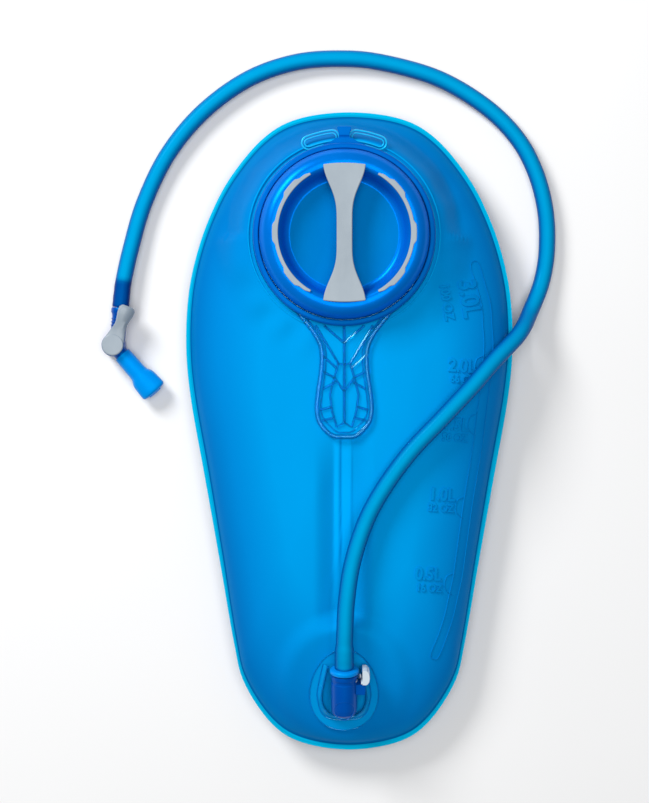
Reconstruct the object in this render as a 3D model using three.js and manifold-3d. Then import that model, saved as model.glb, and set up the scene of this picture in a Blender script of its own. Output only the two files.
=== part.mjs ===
// Hydration bladder: a 3 litre reservoir lying on its back, with its screw cap on a tether, its
// quick-release hose coupling, its drinking hose and its bite valve.
// Millimetres. +X to the right, +Y from the outlet towards the fill port, +Z out of the front face.
// The origin is on the resting surface, under the middle of the bag.

import * as THREE from 'three';
import { mergeVertices } from 'three/addons/utils/BufferGeometryUtils.js';
import Module from 'manifold-3d';

const wasm = await Module();
wasm.setup();

// ---- Driving dimensions ----------------------------------------------------------------------

const GAP = 0.3;                       // clearance kept between pieces that rest on each other

const BAG_TOP = 210;                   // half of the bag's length
const SEAM_Z = 20;                     // height of the welded rim over the resting surface
const CROWN_Z = 45;                    // height of the front film at its highest
const FILM = 1.2;                      // wall thickness of the film solids
const RIM_HALF = 0.9;                  // thickness of one film in the welded rim
const RIM_INNER = 0.966;               // where the weld rim ends, as a share of the outline
const BAG_CENTRE = new THREE.Vector2(0, 10);

const MIDLINE_X = -3.7;                // the line that the port, the baffle and the outlet stand on
const PORT_Y = 127;                    // centre of the fill port
const PORT_Z = CROWN_Z;                // height of its seat on the film
const MOUTH_R = 43.5;                  // the mouth that water is poured into
const NECK_R = 47;
const NECK_TOP = 14;                   // height of the neck over the seat
const SEAT_R = 60;                     // the film is flat under the port out to here
const FLANGE_R = 58;
const CAP_R = 54.8;
const HINGE_R = 63;                    // from the port's centre to the tether's hinge line
const HINGE_Z = 4;

const OUTLET_Y = -163.2;                 // centre of the outlet port
const OUTLET_Z = 36;
const OUTLET_TILT = THREE.MathUtils.degToRad(14);
const OUTLET_SEAT = [34, 47];          // the film is flat to the first radius, and free of it at the second
const AXIS_H = 11.5;                   // height of the coupling's axis over the outlet's seat
const PAD_Y = -5.2;                    // centre of the outlet's welded pad, in the outlet's frame
const PAD_HALF = [22.6, 28.4];
const DRAIN_Y = -11.5;                 // the water's way out of the bag, from the outlet's centre
const DRAIN_R = 2.2;
const SOCKET_R = 8.5;

const HOSE_R = 5.5;
const HOSE_BORE_R = 3.5;
const VALVE_AXIS_Z = 8.6;              // height of the bite valve's axis over the surface

const SIDES = 16;                      // facets round a small turned piece
const WIDE_SIDES = 40;                 // facets round the fill port and its cap

// ---- Solids ------------------------------------------------------------------------------------

function signedVolume(position, index) {
  const a = new THREE.Vector3();
  const b = new THREE.Vector3();
  const c = new THREE.Vector3();
  let sum = 0;
  for (let i = 0; i < index.length; i += 3) {
    a.fromBufferAttribute(position, index[i]);
    b.fromBufferAttribute(position, index[i + 1]);
    c.fromBufferAttribute(position, index[i + 2]);
    sum += a.dot(b.cross(c));
  }
  return sum / 6;
}

// A closed three.js geometry as a manifold solid, with its faces turned outwards.
function solid(geometry) {
  const bare = geometry.clone();
  for (const name of Object.keys(bare.attributes)) {
    if (name !== 'position') bare.deleteAttribute(name);
  }
  const merged = mergeVertices(bare, 1e-4);
  const index = Uint32Array.from(merged.index.array);
  if (signedVolume(merged.attributes.position, index) < 0) {
    for (let i = 0; i < index.length; i += 3) {
      [index[i + 1], index[i + 2]] = [index[i + 2], index[i + 1]];
    }
  }
  return new wasm.Manifold(new wasm.Mesh({
    numProp: 3,
    vertProperties: Float32Array.from(merged.attributes.position.array),
    triVerts: index,
  }));
}

function toGeometry(manifold) {
  const mesh = manifold.getMesh();
  const geometry = new THREE.BufferGeometry();
  geometry.setAttribute('position', new THREE.BufferAttribute(Float32Array.from(mesh.vertProperties), 3));
  geometry.setIndex(new THREE.BufferAttribute(Uint32Array.from(mesh.triVerts), 1));
  geometry.computeVertexNormals();
  return geometry;
}

// A ring or plug turned about Z from a profile of [radius, height] pairs.
function turned(profile, segments = SIDES) {
  const points = profile.map(([r, z]) => new THREE.Vector2(r, z));
  if (profile[0][0] > 0) points.push(points[0].clone());
  const geometry = new THREE.LatheGeometry(points, segments);
  geometry.rotateX(Math.PI / 2);
  return solid(geometry);
}

function cylinder(radius, low, high, segments = SIDES) {
  return turned([[0, low], [radius, low], [radius, high], [0, high]], segments);
}

function ring(inner, outer, low, high, segments = SIDES) {
  return turned([[inner, low], [outer, low], [outer, high], [inner, high]], segments);
}

function box(low, high) {
  const size = high.map((value, i) => value - low[i]);
  const geometry = new THREE.BoxGeometry(...size);
  geometry.translate(...low.map((value, i) => value + size[i] / 2));
  return solid(geometry);
}

// An outline in X and Y, pulled up from one height to another.
function prism(shape, low, high, curveSegments = 12) {
  const geometry = new THREE.ExtrudeGeometry(shape, { depth: high - low, bevelEnabled: false, curveSegments });
  geometry.translate(0, 0, low);
  return solid(geometry);
}

function circlePath(radius, sides, Type = THREE.Shape) {
  const shape = new Type();
  for (let i = 0; i < sides; i += 1) {
    const angle = (2 * Math.PI * i) / sides;
    const [x, y] = [radius * Math.cos(angle), radius * Math.sin(angle)];
    if (i === 0) shape.moveTo(x, y);
    else shape.lineTo(x, y);
  }
  shape.closePath();
  return shape;
}

function swept(curve, radius, steps, sides, boreRadius = 0) {
  const shape = circlePath(radius, sides);
  if (boreRadius > 0) shape.holes.push(circlePath(boreRadius, sides, THREE.Path));
  return solid(new THREE.ExtrudeGeometry(shape, { steps, bevelEnabled: false, extrudePath: curve }));
}

class Helix extends THREE.Curve {
  constructor(radius, low, high, turns) {
    super();
    Object.assign(this, { radius, low, high, turns });
  }

  getPoint(t, target = new THREE.Vector3()) {
    const angle = 2 * Math.PI * this.turns * t;
    const z = this.low + (this.high - this.low) * t;
    return target.set(this.radius * Math.cos(angle), this.radius * Math.sin(angle), z);
  }
}

function spring(radius, wire, low, high, turns) {
  return swept(new Helix(radius, low + wire, high - wire, turns), wire, turns * 9, 4);
}

// A solid made about Z, laid along +Y at the coupling's axis.
function alongY(manifold) {
  return manifold.rotate([-90, 0, 0]).translate([0, 0, AXIS_H]);
}

function smooth(low, high, value) {
  return THREE.MathUtils.smoothstep(value, low, high);
}

// ---- Materials and assembly --------------------------------------------------------------------

const finishes = {
  film: new THREE.MeshStandardMaterial({ color: 0x0a9fe8, roughness: 0.3 }),
  clear: new THREE.MeshStandardMaterial({ color: 0x3fb4e6, roughness: 0.12 }),
  cap: new THREE.MeshStandardMaterial({ color: 0x0a62c8, roughness: 0.3 }),
  grip: new THREE.MeshStandardMaterial({ color: 0xa4aeb6, roughness: 0.65 }),
  coupling: new THREE.MeshStandardMaterial({ color: 0x0a45a0, roughness: 0.35 }),
  pale: new THREE.MeshStandardMaterial({ color: 0xc3d2de, roughness: 0.4 }),
  seal: new THREE.MeshStandardMaterial({ color: 0x2b3137, roughness: 0.8 }),
  steel: new THREE.MeshStandardMaterial({ color: 0xc4c8cc, roughness: 0.3, metalness: 0.9 }),
  hose: new THREE.MeshStandardMaterial({ color: 0x089ad8, roughness: 0.25 }),
  mouth: new THREE.MeshStandardMaterial({ color: 0x1690e8, roughness: 0.45 }),
};

const bladder = new THREE.Group();

const port = new THREE.Group();
port.position.set(MIDLINE_X, PORT_Y, PORT_Z);
bladder.add(port);

const outlet = new THREE.Group();
outlet.position.set(MIDLINE_X, OUTLET_Y, OUTLET_Z);
outlet.rotation.x = OUTLET_TILT;
bladder.add(outlet);

function piece(group, name, manifold, finish) {
  const mesh = new THREE.Mesh(toGeometry(manifold), finishes[finish]);
  mesh.name = name;
  group.add(mesh);
}

// ---- Bag ---------------------------------------------------------------------------------------

// The outline's right side, from the top of the bag to its foot.
const outlineSide = [
  [34, 205.6], [57, 192.6], [78.4, 167], [92, 141], [101.2, 114], [106.3, 87], [107.5, 54],
  [104.3, 20], [94.8, -33], [85.2, -87], [76, -140], [69.3, -166], [52, -192], [32, -205],
];

function outlineCurve() {
  const right = outlineSide.map(([x, y]) => new THREE.Vector3(x, y, 0));
  const left = outlineSide.map(([x, y]) => new THREE.Vector3(-x, y, 0)).reverse();
  const top = new THREE.Vector3(0, BAG_TOP, 0);
  const foot = new THREE.Vector3(0, -BAG_TOP, 0);
  return new THREE.CatmullRomCurve3([top, ...right, foot, ...left], true, 'centripetal');
}

const outlinePolar = outlineCurve().getPoints(720).map((p) => {
  const offset = new THREE.Vector2(p.x, p.y).sub(BAG_CENTRE);
  return { angle: Math.atan2(offset.y, offset.x), radius: offset.length() };
}).sort((a, b) => a.angle - b.angle);

function outlineRadius(angle) {
  const after = outlinePolar.findIndex((entry) => entry.angle >= angle);
  const b = outlinePolar[Math.max(after, 0)];
  const a = outlinePolar[(Math.max(after, 0) + outlinePolar.length - 1) % outlinePolar.length];
  const span = b.angle - a.angle;
  if (span <= 1e-9) return b.radius;
  return THREE.MathUtils.lerp(a.radius, b.radius, (angle - a.angle) / span);
}

// How far out a place is: 0 at the bag's centre, 1 on its outline.
function share(x, y) {
  const dx = x - BAG_CENTRE.x;
  const dy = y - BAG_CENTRE.y;
  return Math.hypot(dx, dy) / outlineRadius(Math.atan2(dy, dx));
}

function frontZ(x, y) {
  const rim = SEAM_Z + RIM_HALF;
  const s = Math.min(1, share(x, y) / RIM_INNER);
  const crown = rim + (CROWN_Z - rim) * (1 - s ** 3) ** 0.7;
  const along = smooth(-165, -135, y) * (1 - smooth(-40, 10, y));
  const valley = 6 * along * (1 - smooth(3, 20, Math.abs(x - MIDLINE_X)));
  const onPort = 1 - smooth(SEAT_R, y > PORT_Y ? 78 : 86, Math.hypot(x - MIDLINE_X, y - PORT_Y));
  const onOutlet = 1 - smooth(...OUTLET_SEAT, Math.hypot(x - MIDLINE_X, y - OUTLET_Y));
  const outletSeat = OUTLET_Z + (y - OUTLET_Y) * Math.tan(OUTLET_TILT);
  const inside = s < 1 ? 1 : 0;
  let z = crown - valley;
  z += (PORT_Z - z) * onPort * inside;
  z += (outletSeat - z) * onOutlet * inside;
  return z;
}

function backZ(x, y) {
  const rim = SEAM_Z - RIM_HALF;
  const s = Math.min(1, share(x, y) / RIM_INNER);
  return Math.max(0, rim - (rim + 0.6) * (1 - s ** 5) ** 0.55);
}

// One film as a closed shell: its outer face, its inner face and the flat weld rim between them.
function filmShell(height, side) {
  const spokes = 40;
  const shares = [0.16, 0.34, 0.52, 0.67, 0.79, 0.88, 0.935, RIM_INNER];
  const seam = SEAM_Z + side * 0.15;
  const rows = [];
  const place = (spoke, t, inset, z) => {
    const angle = (2 * Math.PI * spoke) / spokes - Math.PI;
    const r = outlineRadius(angle) * t - inset;
    const x = BAG_CENTRE.x + r * Math.cos(angle);
    const y = BAG_CENTRE.y + r * Math.sin(angle);
    return [x, y, z(x, y)];
  };
  const innerZ = (x, y) => {
    const z = height(x, y);
    const rise = Math.abs(z - SEAM_Z) - RIM_HALF;
    return z - side * (0.75 + (FILM - 0.75) * Math.min(1, rise / 8));
  };
  for (const t of shares) rows.push((spoke) => place(spoke, t, 0, height));
  rows.push((spoke) => place(spoke, 1, 0, () => SEAM_Z + side * RIM_HALF));
  rows.push((spoke) => place(spoke, 1, 0, () => seam));
  for (const t of [...shares].reverse()) {
    rows.push((spoke) => place(spoke, t, t === RIM_INNER ? 1.6 : 1.2 * t, (x, y) => {
      return t === RIM_INNER ? seam : innerZ(x, y);
    }));
  }
  const vertices = [[BAG_CENTRE.x, BAG_CENTRE.y, height(BAG_CENTRE.x, BAG_CENTRE.y)]];
  for (const row of rows) {
    for (let spoke = 0; spoke < spokes; spoke += 1) vertices.push(row(spoke));
  }
  vertices.push([BAG_CENTRE.x, BAG_CENTRE.y, innerZ(BAG_CENTRE.x, BAG_CENTRE.y)]);
  const last = vertices.length - 1;
  const at = (row, spoke) => 1 + row * spokes + (spoke % spokes);
  const index = [];
  for (let spoke = 0; spoke < spokes; spoke += 1) {
    index.push(0, at(0, spoke), at(0, spoke + 1));
    index.push(last, at(rows.length - 1, spoke + 1), at(rows.length - 1, spoke));
    for (let row = 0; row < rows.length - 1; row += 1) {
      index.push(at(row, spoke), at(row + 1, spoke), at(row + 1, spoke + 1));
      index.push(at(row, spoke), at(row + 1, spoke + 1), at(row, spoke + 1));
    }
  }
  const geometry = new THREE.BufferGeometry();
  geometry.setAttribute('position', new THREE.Float32BufferAttribute(vertices.flat(), 3));
  geometry.setIndex(index);
  return solid(geometry);
}

function frontFilm() {
  const overPort = cylinder(FLANGE_R + 1, 0, 20, WIDE_SIDES).translate([MIDLINE_X, PORT_Y, PORT_Z]);
  const mouth = cylinder(NECK_R - 1, -20, 20, WIDE_SIDES).translate([MIDLINE_X, PORT_Y, PORT_Z]);
  const tilt = THREE.MathUtils.radToDeg(OUTLET_TILT);
  const toOutlet = (m) => m.rotate([tilt, 0, 0]).translate([MIDLINE_X, OUTLET_Y, OUTLET_Z]);
  const overOutlet = toOutlet(prism(outletOutline(0.6), 0, 20));
  const drain = toOutlet(cylinder(6, -20, 20).translate([0, DRAIN_Y, 0]));
  return filmShell(frontZ, 1).subtract(overPort).subtract(mouth).subtract(overOutlet).subtract(drain);
}

// The inner strip that ties the two films together down the middle of the bag.
function centreBaffle() {
  const [foot, head, pace, half] = [-140, -12, 16, 0.6];
  const shape = new THREE.Shape();
  shape.moveTo(foot, backZ(MIDLINE_X, foot) + FILM + 1.2);
  for (let y = foot + pace; y <= head; y += pace) shape.lineTo(y, backZ(MIDLINE_X, y) + FILM + 1.2);
  for (let y = head; y >= foot; y -= pace) shape.lineTo(y, frontZ(MIDLINE_X, y) - FILM - 1.4);
  shape.closePath();
  return prism(shape, -half, half).rotate([90, 0, 90]).translate([MIDLINE_X, 0, 0]);
}

piece(bladder, 'front_film', frontFilm(), 'film');
piece(bladder, 'back_film', filmShell(backZ, -1), 'film');
piece(bladder, 'centre_baffle', centreBaffle(), 'film');

// ---- Fill port, with its hang tab and ribbed handle ---------------------------------------------

const HANDLE_FOOT = -131;              // the handle's free end, from the port's centre

// Half the handle's width at a distance below the port's centre.
const handleSide = [
  [34, -46], [24, -58], [17.5, -68], [15.2, -76], [15.6, -88], [17.6, -102], [18.4, -112], [16.6, -122], [9, -130],
];

function handleOutline(inset) {
  const shape = new THREE.Shape();
  const right = handleSide.map(([x, y]) => new THREE.Vector2(x - inset, y + (y < -115 ? inset : 0)));
  const left = right.map((p) => new THREE.Vector2(-p.x, p.y)).reverse();
  shape.moveTo(right[0].x, right[0].y);
  shape.splineThru([...right.slice(1), new THREE.Vector2(0, HANDLE_FOOT + inset), ...left]);
  shape.closePath();
  return shape;
}

// A straight rib between two places in X and Y.
function rib(x0, y0, x1, y1, width, low, high) {
  const length = Math.hypot(x1 - x0, y1 - y0);
  const angle = THREE.MathUtils.radToDeg(Math.atan2(y1 - y0, x1 - x0));
  const bar = box([-0.3, -width / 2, low], [length + 0.3, width / 2, high]);
  return bar.rotate([0, 0, angle]).translate([x0, y0, 0]);
}

const SPINE_NODES = [-70, -84, -101, -122];

function handle() {
  const [low, web, top] = [GAP, 1.7, 4.2];
  const [wall, flush] = [1.6, 0.4];    // the handle's rim, and how far the ribs stop inside its edge
  let body = prism(handleOutline(0), low, top, 2).subtract(prism(handleOutline(wall), web, top + 1, 2));
  const ribs = [rib(0, -58, 0, HANDLE_FOOT + 1, 1.4, low, top)];
  const reach = [14.2, 15, 17, 15.5];
  SPINE_NODES.forEach((y, i) => {
    for (const side of [-1, 1]) {
      ribs.push(rib(0, y, side * reach[i], y + 9, 1.2, low, top));
      if (i < 3) ribs.push(rib(0, y, side * reach[i], y - 8, 1.2, low, top));
    }
  });
  for (const side of [-1, 1]) ribs.push(rib(0, -70, side * 22, -59, 1.2, low, top));
  for (const part of ribs) body = body.add(part.intersect(prism(handleOutline(flush), low, top, 2)));
  const clearOfRing = cylinder(59.6, 2.2, 9, WIDE_SIDES);
  return body.subtract(cylinder(FLANGE_R + GAP, -1, 9, WIDE_SIDES)).subtract(clearOfRing);
}

function sector(inner, outer, from, to, steps = 12) {
  const shape = new THREE.Shape();
  const degrees = (i) => THREE.MathUtils.degToRad(from + ((to - from) * i) / steps);
  for (let i = 0; i <= steps; i += 1) {
    const [x, y] = [outer * Math.cos(degrees(i)), outer * Math.sin(degrees(i))];
    if (i === 0) shape.moveTo(x, y);
    else shape.lineTo(x, y);
  }
  for (let i = steps; i >= 0; i -= 1) shape.lineTo(inner * Math.cos(degrees(i)), inner * Math.sin(degrees(i)));
  shape.closePath();
  return shape;
}

const TAB_R = 70;                      // from the port's centre to the hang tab's far edge
const SLOT = { inner: 60.6, outer: 67, from: 66, to: 86 };

function hangTab() {
  let tab = prism(sector(FLANGE_R + GAP, TAB_R, 60, 120, 20), GAP, 2.2);
  for (const mirror of [1, -1]) {
    const [from, to] = mirror > 0 ? [SLOT.from, SLOT.to] : [180 - SLOT.to, 180 - SLOT.from];
    tab = tab.subtract(prism(sector(SLOT.inner, SLOT.outer, from, to, 8), -1, 5));
    tab = tab.add(prism(sector(TAB_R - 2, TAB_R, from, to, 8), GAP, 3.2));
  }
  return tab;
}

function fillPort() {
  return turned([
    [MOUTH_R, -2.5], [NECK_R - 1.6, -2.5], [NECK_R - 1.6, GAP], [FLANGE_R, GAP], [FLANGE_R, 1.8], [FLANGE_R - 1, 2.2],
    [NECK_R, 2.2], [NECK_R, 7], [NECK_R + 1.1, 8], [NECK_R + 1.1, 8.8], [NECK_R, 9.8], [NECK_R, NECK_TOP],
    [MOUTH_R, NECK_TOP],
  ], WIDE_SIDES);
}

piece(port, 'fill_port', fillPort(), 'clear');
piece(port, 'port_handle', handle(), 'clear');
piece(port, 'hang_tab', hangTab(), 'clear');
piece(port, 'tether_anchor', box([-4, HINGE_R + 2, 2.5], [4, HINGE_R + 6.5, 4.6]), 'cap');
piece(port, 'tether_strap', box([-3.5, 59.3, 3], [3.5, HINGE_R - 0.2, 5]), 'cap');
piece(port, 'tether_ring', turned([
  [55.3, 3], [58.6, 3], [59, 3.6], [59, 7], [58, 8], [55.3, 8],
], WIDE_SIDES), 'cap');

// ---- Cap ---------------------------------------------------------------------------------------

const BAR_HALF = 43.3;                 // half the grip bar's length
const LEDGE_Z = 19.4;                  // flat top of the lid's crown, where the grips sit

// The waisted outline of the bar across the recess.
function barShape(inset) {
  const [wide, waist] = [13.6 - inset, 5 - inset];
  const end = BAR_HALF - inset;
  const shape = new THREE.Shape();
  shape.moveTo(-wide, -end);
  shape.quadraticCurveTo(0, -end - 1.2, wide, -end);
  shape.bezierCurveTo(wide - 0.5, -end + 11, waist, -end + 18, waist, 0);
  shape.bezierCurveTo(waist, end - 18, wide - 0.5, end - 11, wide, end);
  shape.quadraticCurveTo(0, end + 1.2, -wide, end);
  shape.bezierCurveTo(-wide + 0.5, end - 11, -waist, end - 18, -waist, 0);
  shape.bezierCurveTo(-waist, -end + 18, -wide + 0.5, -end + 11, -wide, -end);
  return shape;
}

function cap() {
  const shell = turned([
    [CAP_R, 3.2], [CAP_R, 10], [CAP_R - 0.5, 14.5], [CAP_R - 2, 18.2], [50.6, 20.2], [48, LEDGE_Z], [41.9, LEDGE_Z],
    [40.6, 17.8], [39, 12], [37.4, 7], [36.4, 6], [0, 6], [0, 4.5], [37.6, 4.5], [39, 5.8], [40.4, 12], [41.8, 15.8],
    [48.8, 15.8], [48.8, 3.2],
  ], WIDE_SIDES);
  const insideWall = turned([[0, 5.2], [37.8, 5.2], [39.6, 12], [41.2, 16], [41.6, LEDGE_Z], [0, LEDGE_Z]], WIDE_SIDES);
  return shell.add(prism(barShape(0.9), 5.2, LEDGE_Z, 6).intersect(insideWall));
}

// A soft grip arc on the crown, with three wider lobes.
function gripArc(middle) {
  const [inner, width, steps] = [42.4, 2.4, 24];
  const shape = new THREE.Shape();
  const place = (i, radius) => {
    const angle = THREE.MathUtils.degToRad(middle - 60 + (120 * i) / steps);
    return [radius * Math.cos(angle), radius * Math.sin(angle)];
  };
  const lobe = (i) => 1.2 * Math.max(0, Math.cos((2 * Math.PI * 3 * (i - steps / 2)) / steps)) ** 0.5;
  shape.moveTo(...place(0, inner));
  for (let i = steps; i >= 0; i -= 1) {
    if (i < steps) shape.lineTo(...place(steps - i, inner));
  }
  for (let i = steps; i >= 0; i -= 1) shape.lineTo(...place(i, inner + width + lobe(i)));
  shape.closePath();
  return prism(shape, LEDGE_Z + GAP, LEDGE_Z + 1.7);
}

piece(port, 'cap', cap(), 'cap');
piece(port, 'cap_gasket', ring(44, 48.2, NECK_TOP + GAP, 15.5, WIDE_SIDES), 'seal');
piece(port, 'grip_bar', prism(barShape(0), LEDGE_Z + GAP, LEDGE_Z + 2.6, 8), 'grip');
piece(port, 'grip_arc_right', gripArc(0), 'grip');
piece(port, 'grip_arc_left', gripArc(180), 'grip');

// ---- Outlet port and quick-release coupling ------------------------------------------------------

// An egg, wider towards the bag's foot.
function outletOutline(grow) {
  const shape = new THREE.Shape();
  const steps = 40;
  for (let i = 0; i < steps; i += 1) {
    const angle = (2 * Math.PI * i) / steps;
    const x = (PAD_HALF[0] + grow) * Math.cos(angle) * (1 - 0.12 * Math.sin(angle));
    const y = PAD_Y + (PAD_HALF[1] + grow) * Math.sin(angle);
    if (i === 0) shape.moveTo(x, y);
    else shape.lineTo(x, y);
  }
  shape.closePath();
  return shape;
}

function outletPort() {
  const cradle = alongY(cylinder(SOCKET_R + GAP, -30, 30));
  const latchRoom = box([4.6, -6, 4.1], [20, 20, 20]);
  const collarRoom = alongY(cylinder(SOCKET_R + 1.5, 9.8, 30));
  const pad = prism(outletOutline(0), GAP, 2.2).add(cylinder(14.8, GAP, AXIS_H));
  const passage = cylinder(DRAIN_R, -5, 12, 12).translate([0, DRAIN_Y, 0]);
  const spout = cylinder(DRAIN_R + 2, -3, 1, 12).translate([0, DRAIN_Y, 0]);
  return pad.subtract(cradle).subtract(latchRoom).subtract(collarRoom).add(spout).subtract(passage);
}

const socketEnds = [-18, 10];
const latch = { low: 4.6, high: 7 };

function socket() {
  const body = turned([
    [0, socketEnds[0]], [6.4, socketEnds[0]], [SOCKET_R - 0.5, -16.2], [SOCKET_R, -13],
    [SOCKET_R, socketEnds[1] - 0.6], [SOCKET_R - 0.6, socketEnds[1]], [6.05, socketEnds[1]], [6.05, -2.5], [3.2, -2.5],
    [3.2, -4], [4.5, -4], [4.5, -16.2], [0, -16.2],
  ]);
  const slot = box([-20, latch.low, AXIS_H - 7.1], [20, latch.high, AXIS_H + 7.1]);
  const inlet = cylinder(DRAIN_R, -5, AXIS_H, 12).translate([0, DRAIN_Y, 0]);
  const latchHousing = box([7.5, -2.5, AXIS_H - 4.6], [13.6, latch.low - 0.4, AXIS_H + 4.6]);
  const bore = alongY(cylinder(6.05, -2.5, 12));
  return alongY(body).add(latchHousing.subtract(bore)).subtract(slot).subtract(inlet);
}

// The latch plate that rings the plug's nose, with the pad that a thumb presses on its +X end.
function releaseButton() {
  const hole = new THREE.Shape();
  hole.absarc(0, 0, 6, Math.PI / 2, -Math.PI / 2, false);
  hole.absarc(2, 0, 6, -Math.PI / 2, Math.PI / 2, false);
  hole.closePath();
  const along = (m) => m.rotate([90, 0, 0]).translate([0, latch.high - 0.4, AXIS_H]);
  const plate = along(prism(circleLens(), 0, latch.high - latch.low - 0.8));
  const window = along(prism(hole, -1, 4));
  const neck = box([8, latch.low + 0.4, AXIS_H - 5], [11.8, latch.high - 0.4, AXIS_H + 5]);
  const pad = new THREE.Shape();
  pad.moveTo(11.4, latch.low);
  pad.lineTo(14.8, latch.low);
  pad.quadraticCurveTo(17.4, 9.4, 14.8, 14.2);
  pad.lineTo(11.4, 14.2);
  pad.closePath();
  return plate.subtract(window).add(neck).add(prism(pad, AXIS_H - 5.6, AXIS_H + 5.6, 6));
}

// A plate outline that stays inside the socket's slot on its free side.
function circleLens() {
  const shape = new THREE.Shape();
  shape.moveTo(8.6, 6.8);
  shape.lineTo(1, 6.9);
  shape.absarc(0.4, 0, 6.9, Math.PI / 2, -Math.PI / 2, false);
  shape.lineTo(8.6, -6.8);
  shape.closePath();
  return shape;
}

function plug() {
  return alongY(turned([
    [1.8, 0], [5, 0], [5.6, 0.7], [5.6, 1.4], [4.4, 1.4], [4.4, 2.8], [5.6, 2.8], [5.6, socketEnds[1] + 0.4],
    [SOCKET_R, socketEnds[1] + 0.4], [SOCKET_R + 0.9, 11.2], [SOCKET_R + 0.9, 13], [SOCKET_R, 14], [2.5, 14],
    [2.5, 16], [3.05, 16.4], [2.5, 18.4], [2.5, 19], [3.05, 19.4], [2.5, 21.4], [2.5, 22], [3.05, 22.4], [2.4, 25],
    [1.8, 25],
  ]));
}

function poppet() {
  return alongY(turned([
    [0, -9.6], [3.9, -9.6], [3.9, -8.4], [1.3, -8.4], [1.3, -1.5], [2.6, -1.3], [2.6, -GAP], [0, -GAP],
  ]));
}

const buttonSpring = spring(1.7, 0.25, 0, 2.4, 3).rotate([0, 90, 0]).translate([8.9, 8.7, AXIS_H]);

piece(outlet, 'outlet_port', outletPort(), 'clear');
piece(outlet, 'quick_link_socket', socket(), 'coupling');
piece(outlet, 'release_button', releaseButton(), 'pale');
piece(outlet, 'button_spring', buttonSpring, 'steel');
piece(outlet, 'check_poppet', poppet(), 'pale');
piece(outlet, 'poppet_seal', alongY(ring(1.6, 3.6, -8.1, -7.3)), 'seal');
piece(outlet, 'poppet_spring', alongY(spring(3, 0.3, -15.9, -9.9, 4)), 'steel');
piece(outlet, 'quick_link_plug', plug(), 'coupling');
piece(outlet, 'plug_o_ring', alongY(turned([
  [4.7, 2.1], [4.9, 1.75], [5.35, 1.75], [5.6, 2.1], [5.35, 2.45], [4.9, 2.45],
])), 'seal');

// ---- Hose --------------------------------------------------------------------------------------

// The hose's centreline from the plug, over the bag, round its top on the surface, to the valve.
const hoseRoute = [
  [MIDLINE_X, -152.1, 50.6], [MIDLINE_X, -142.4, 53], [-3.4, -129, 55.2], [-2.2, -108, 55.6], [1.6, -84, 54.2],
  [10, -58, 52.6], [22, -36, 51.8], [39, -13, 51], [60, 9, 49.4], [79, 29, 45.2], [95, 47, 38], [111.5, 64, 27], [120.5, 80, 13.2],
  [128.3, 99, 7], [131.8, 120, 5.9], [131, 146, 5.9], [124.4, 172, 5.9], [112, 195, 5.9], [91, 216, 5.9],
  [60, 234.5, 5.9], [24, 245, 5.9], [-4, 248, 5.9], [-36, 245.5, 5.9], [-68, 234, 5.9], [-98, 212, 5.9],
  [-121, 184, 5.9], [-136.5, 152, 6], [-145.2, 122, 7.3], [-150, 100, 8.5], [-151.2, 91, 8.6],
  [-152.07, 82, 8.6],
].map((p) => new THREE.Vector3(...p));

const hoseCurve = new THREE.CatmullRomCurve3(hoseRoute, false, 'centripetal');

piece(bladder, 'hose', swept(hoseCurve, HOSE_R, 52, 8, HOSE_BORE_R), 'hose');

// ---- Bite valve --------------------------------------------------------------------------------

// Its frame: +Y runs on from the hose's end, +Z is up, and the barrel's axis stands at BARREL.
const valve = new THREE.Group();
const valveHeading = THREE.MathUtils.degToRad(-5.5);
valve.position.set(-152.1, 81.6, VALVE_AXIS_Z);
valve.rotation.z = Math.PI + valveHeading;
bladder.add(valve);

const BARREL = [2, 25];
const BARREL_R = 7.6;
const BARREL_HALF = 7.4;
const MOUTH_ANGLE = 136.5;              // from the valve frame's +X to the mouthpiece's direction

const MOUTH_START = 10;                // where the mouthpiece begins, from the barrel's axis

const atBarrel = (m) => m.translate([BARREL[0], BARREL[1], 0]);
const alongMouth = (m) => atBarrel(m.rotate([0, 90, 0]).rotate([0, 0, MOUTH_ANGLE]));

function valveBody() {
  const inlet = turned([
    [0, -10], [2.4, -10], [3, -7.8], [2.5, -7.4], [3, -5.2], [2.5, -4.8], [3, -2.6], [2.5, -2.2], [2.5, 0],
    [5.6, 0], [6, 1], [6, 3], [5, 4.4], [5, 22], [0, 22],
  ]).rotate([-90, 0, 0]);
  const barrel = atBarrel(cylinder(BARREL_R, -BARREL_HALF, BARREL_HALF));
  const elbow = alongMouth(turned([
    [0, 0], [5, 0], [5, MOUTH_START - 0.4], [3.6, MOUTH_START - 0.4], [3.6, 22], [4, 22.6], [4, 23.6], [3.6, 24.6], [3.4, 28], [0, 28],
  ]));
  const rotorRoom = atBarrel(cylinder(5.9, -5.6, BARREL_HALF + 1));
  const inletBore = cylinder(1.8, -20, 25, 12).rotate([-90, 0, 0]);
  const mouthBore = alongMouth(cylinder(2.2, 0, 40, 12));
  return inlet.add(barrel).add(elbow).subtract(rotorRoom).subtract(inletBore).subtract(mouthBore);
}

function rotor() {
  const plugBody = atBarrel(turned([
    [0, -5.3], [5.6, -5.3], [5.6, -4.8], [4.9, -4.8], [4.9, -3.6], [5.6, -3.6], [5.6, 3.6], [4.9, 3.6], [4.9, 4.8],
    [5.6, 4.8], [5.6, 7.4], [0, 7.4],
  ]));
  const key = atBarrel(box([-2.2, -2.2, 7], [2.2, 2.2, 9]));
  const inward = atBarrel(cylinder(2, 0, 12, 12).rotate([90, 0, 0]));
  const outward = alongMouth(cylinder(2, -0.5, 12, 12));
  return plugBody.add(key).subtract(inward).subtract(outward);
}

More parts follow.
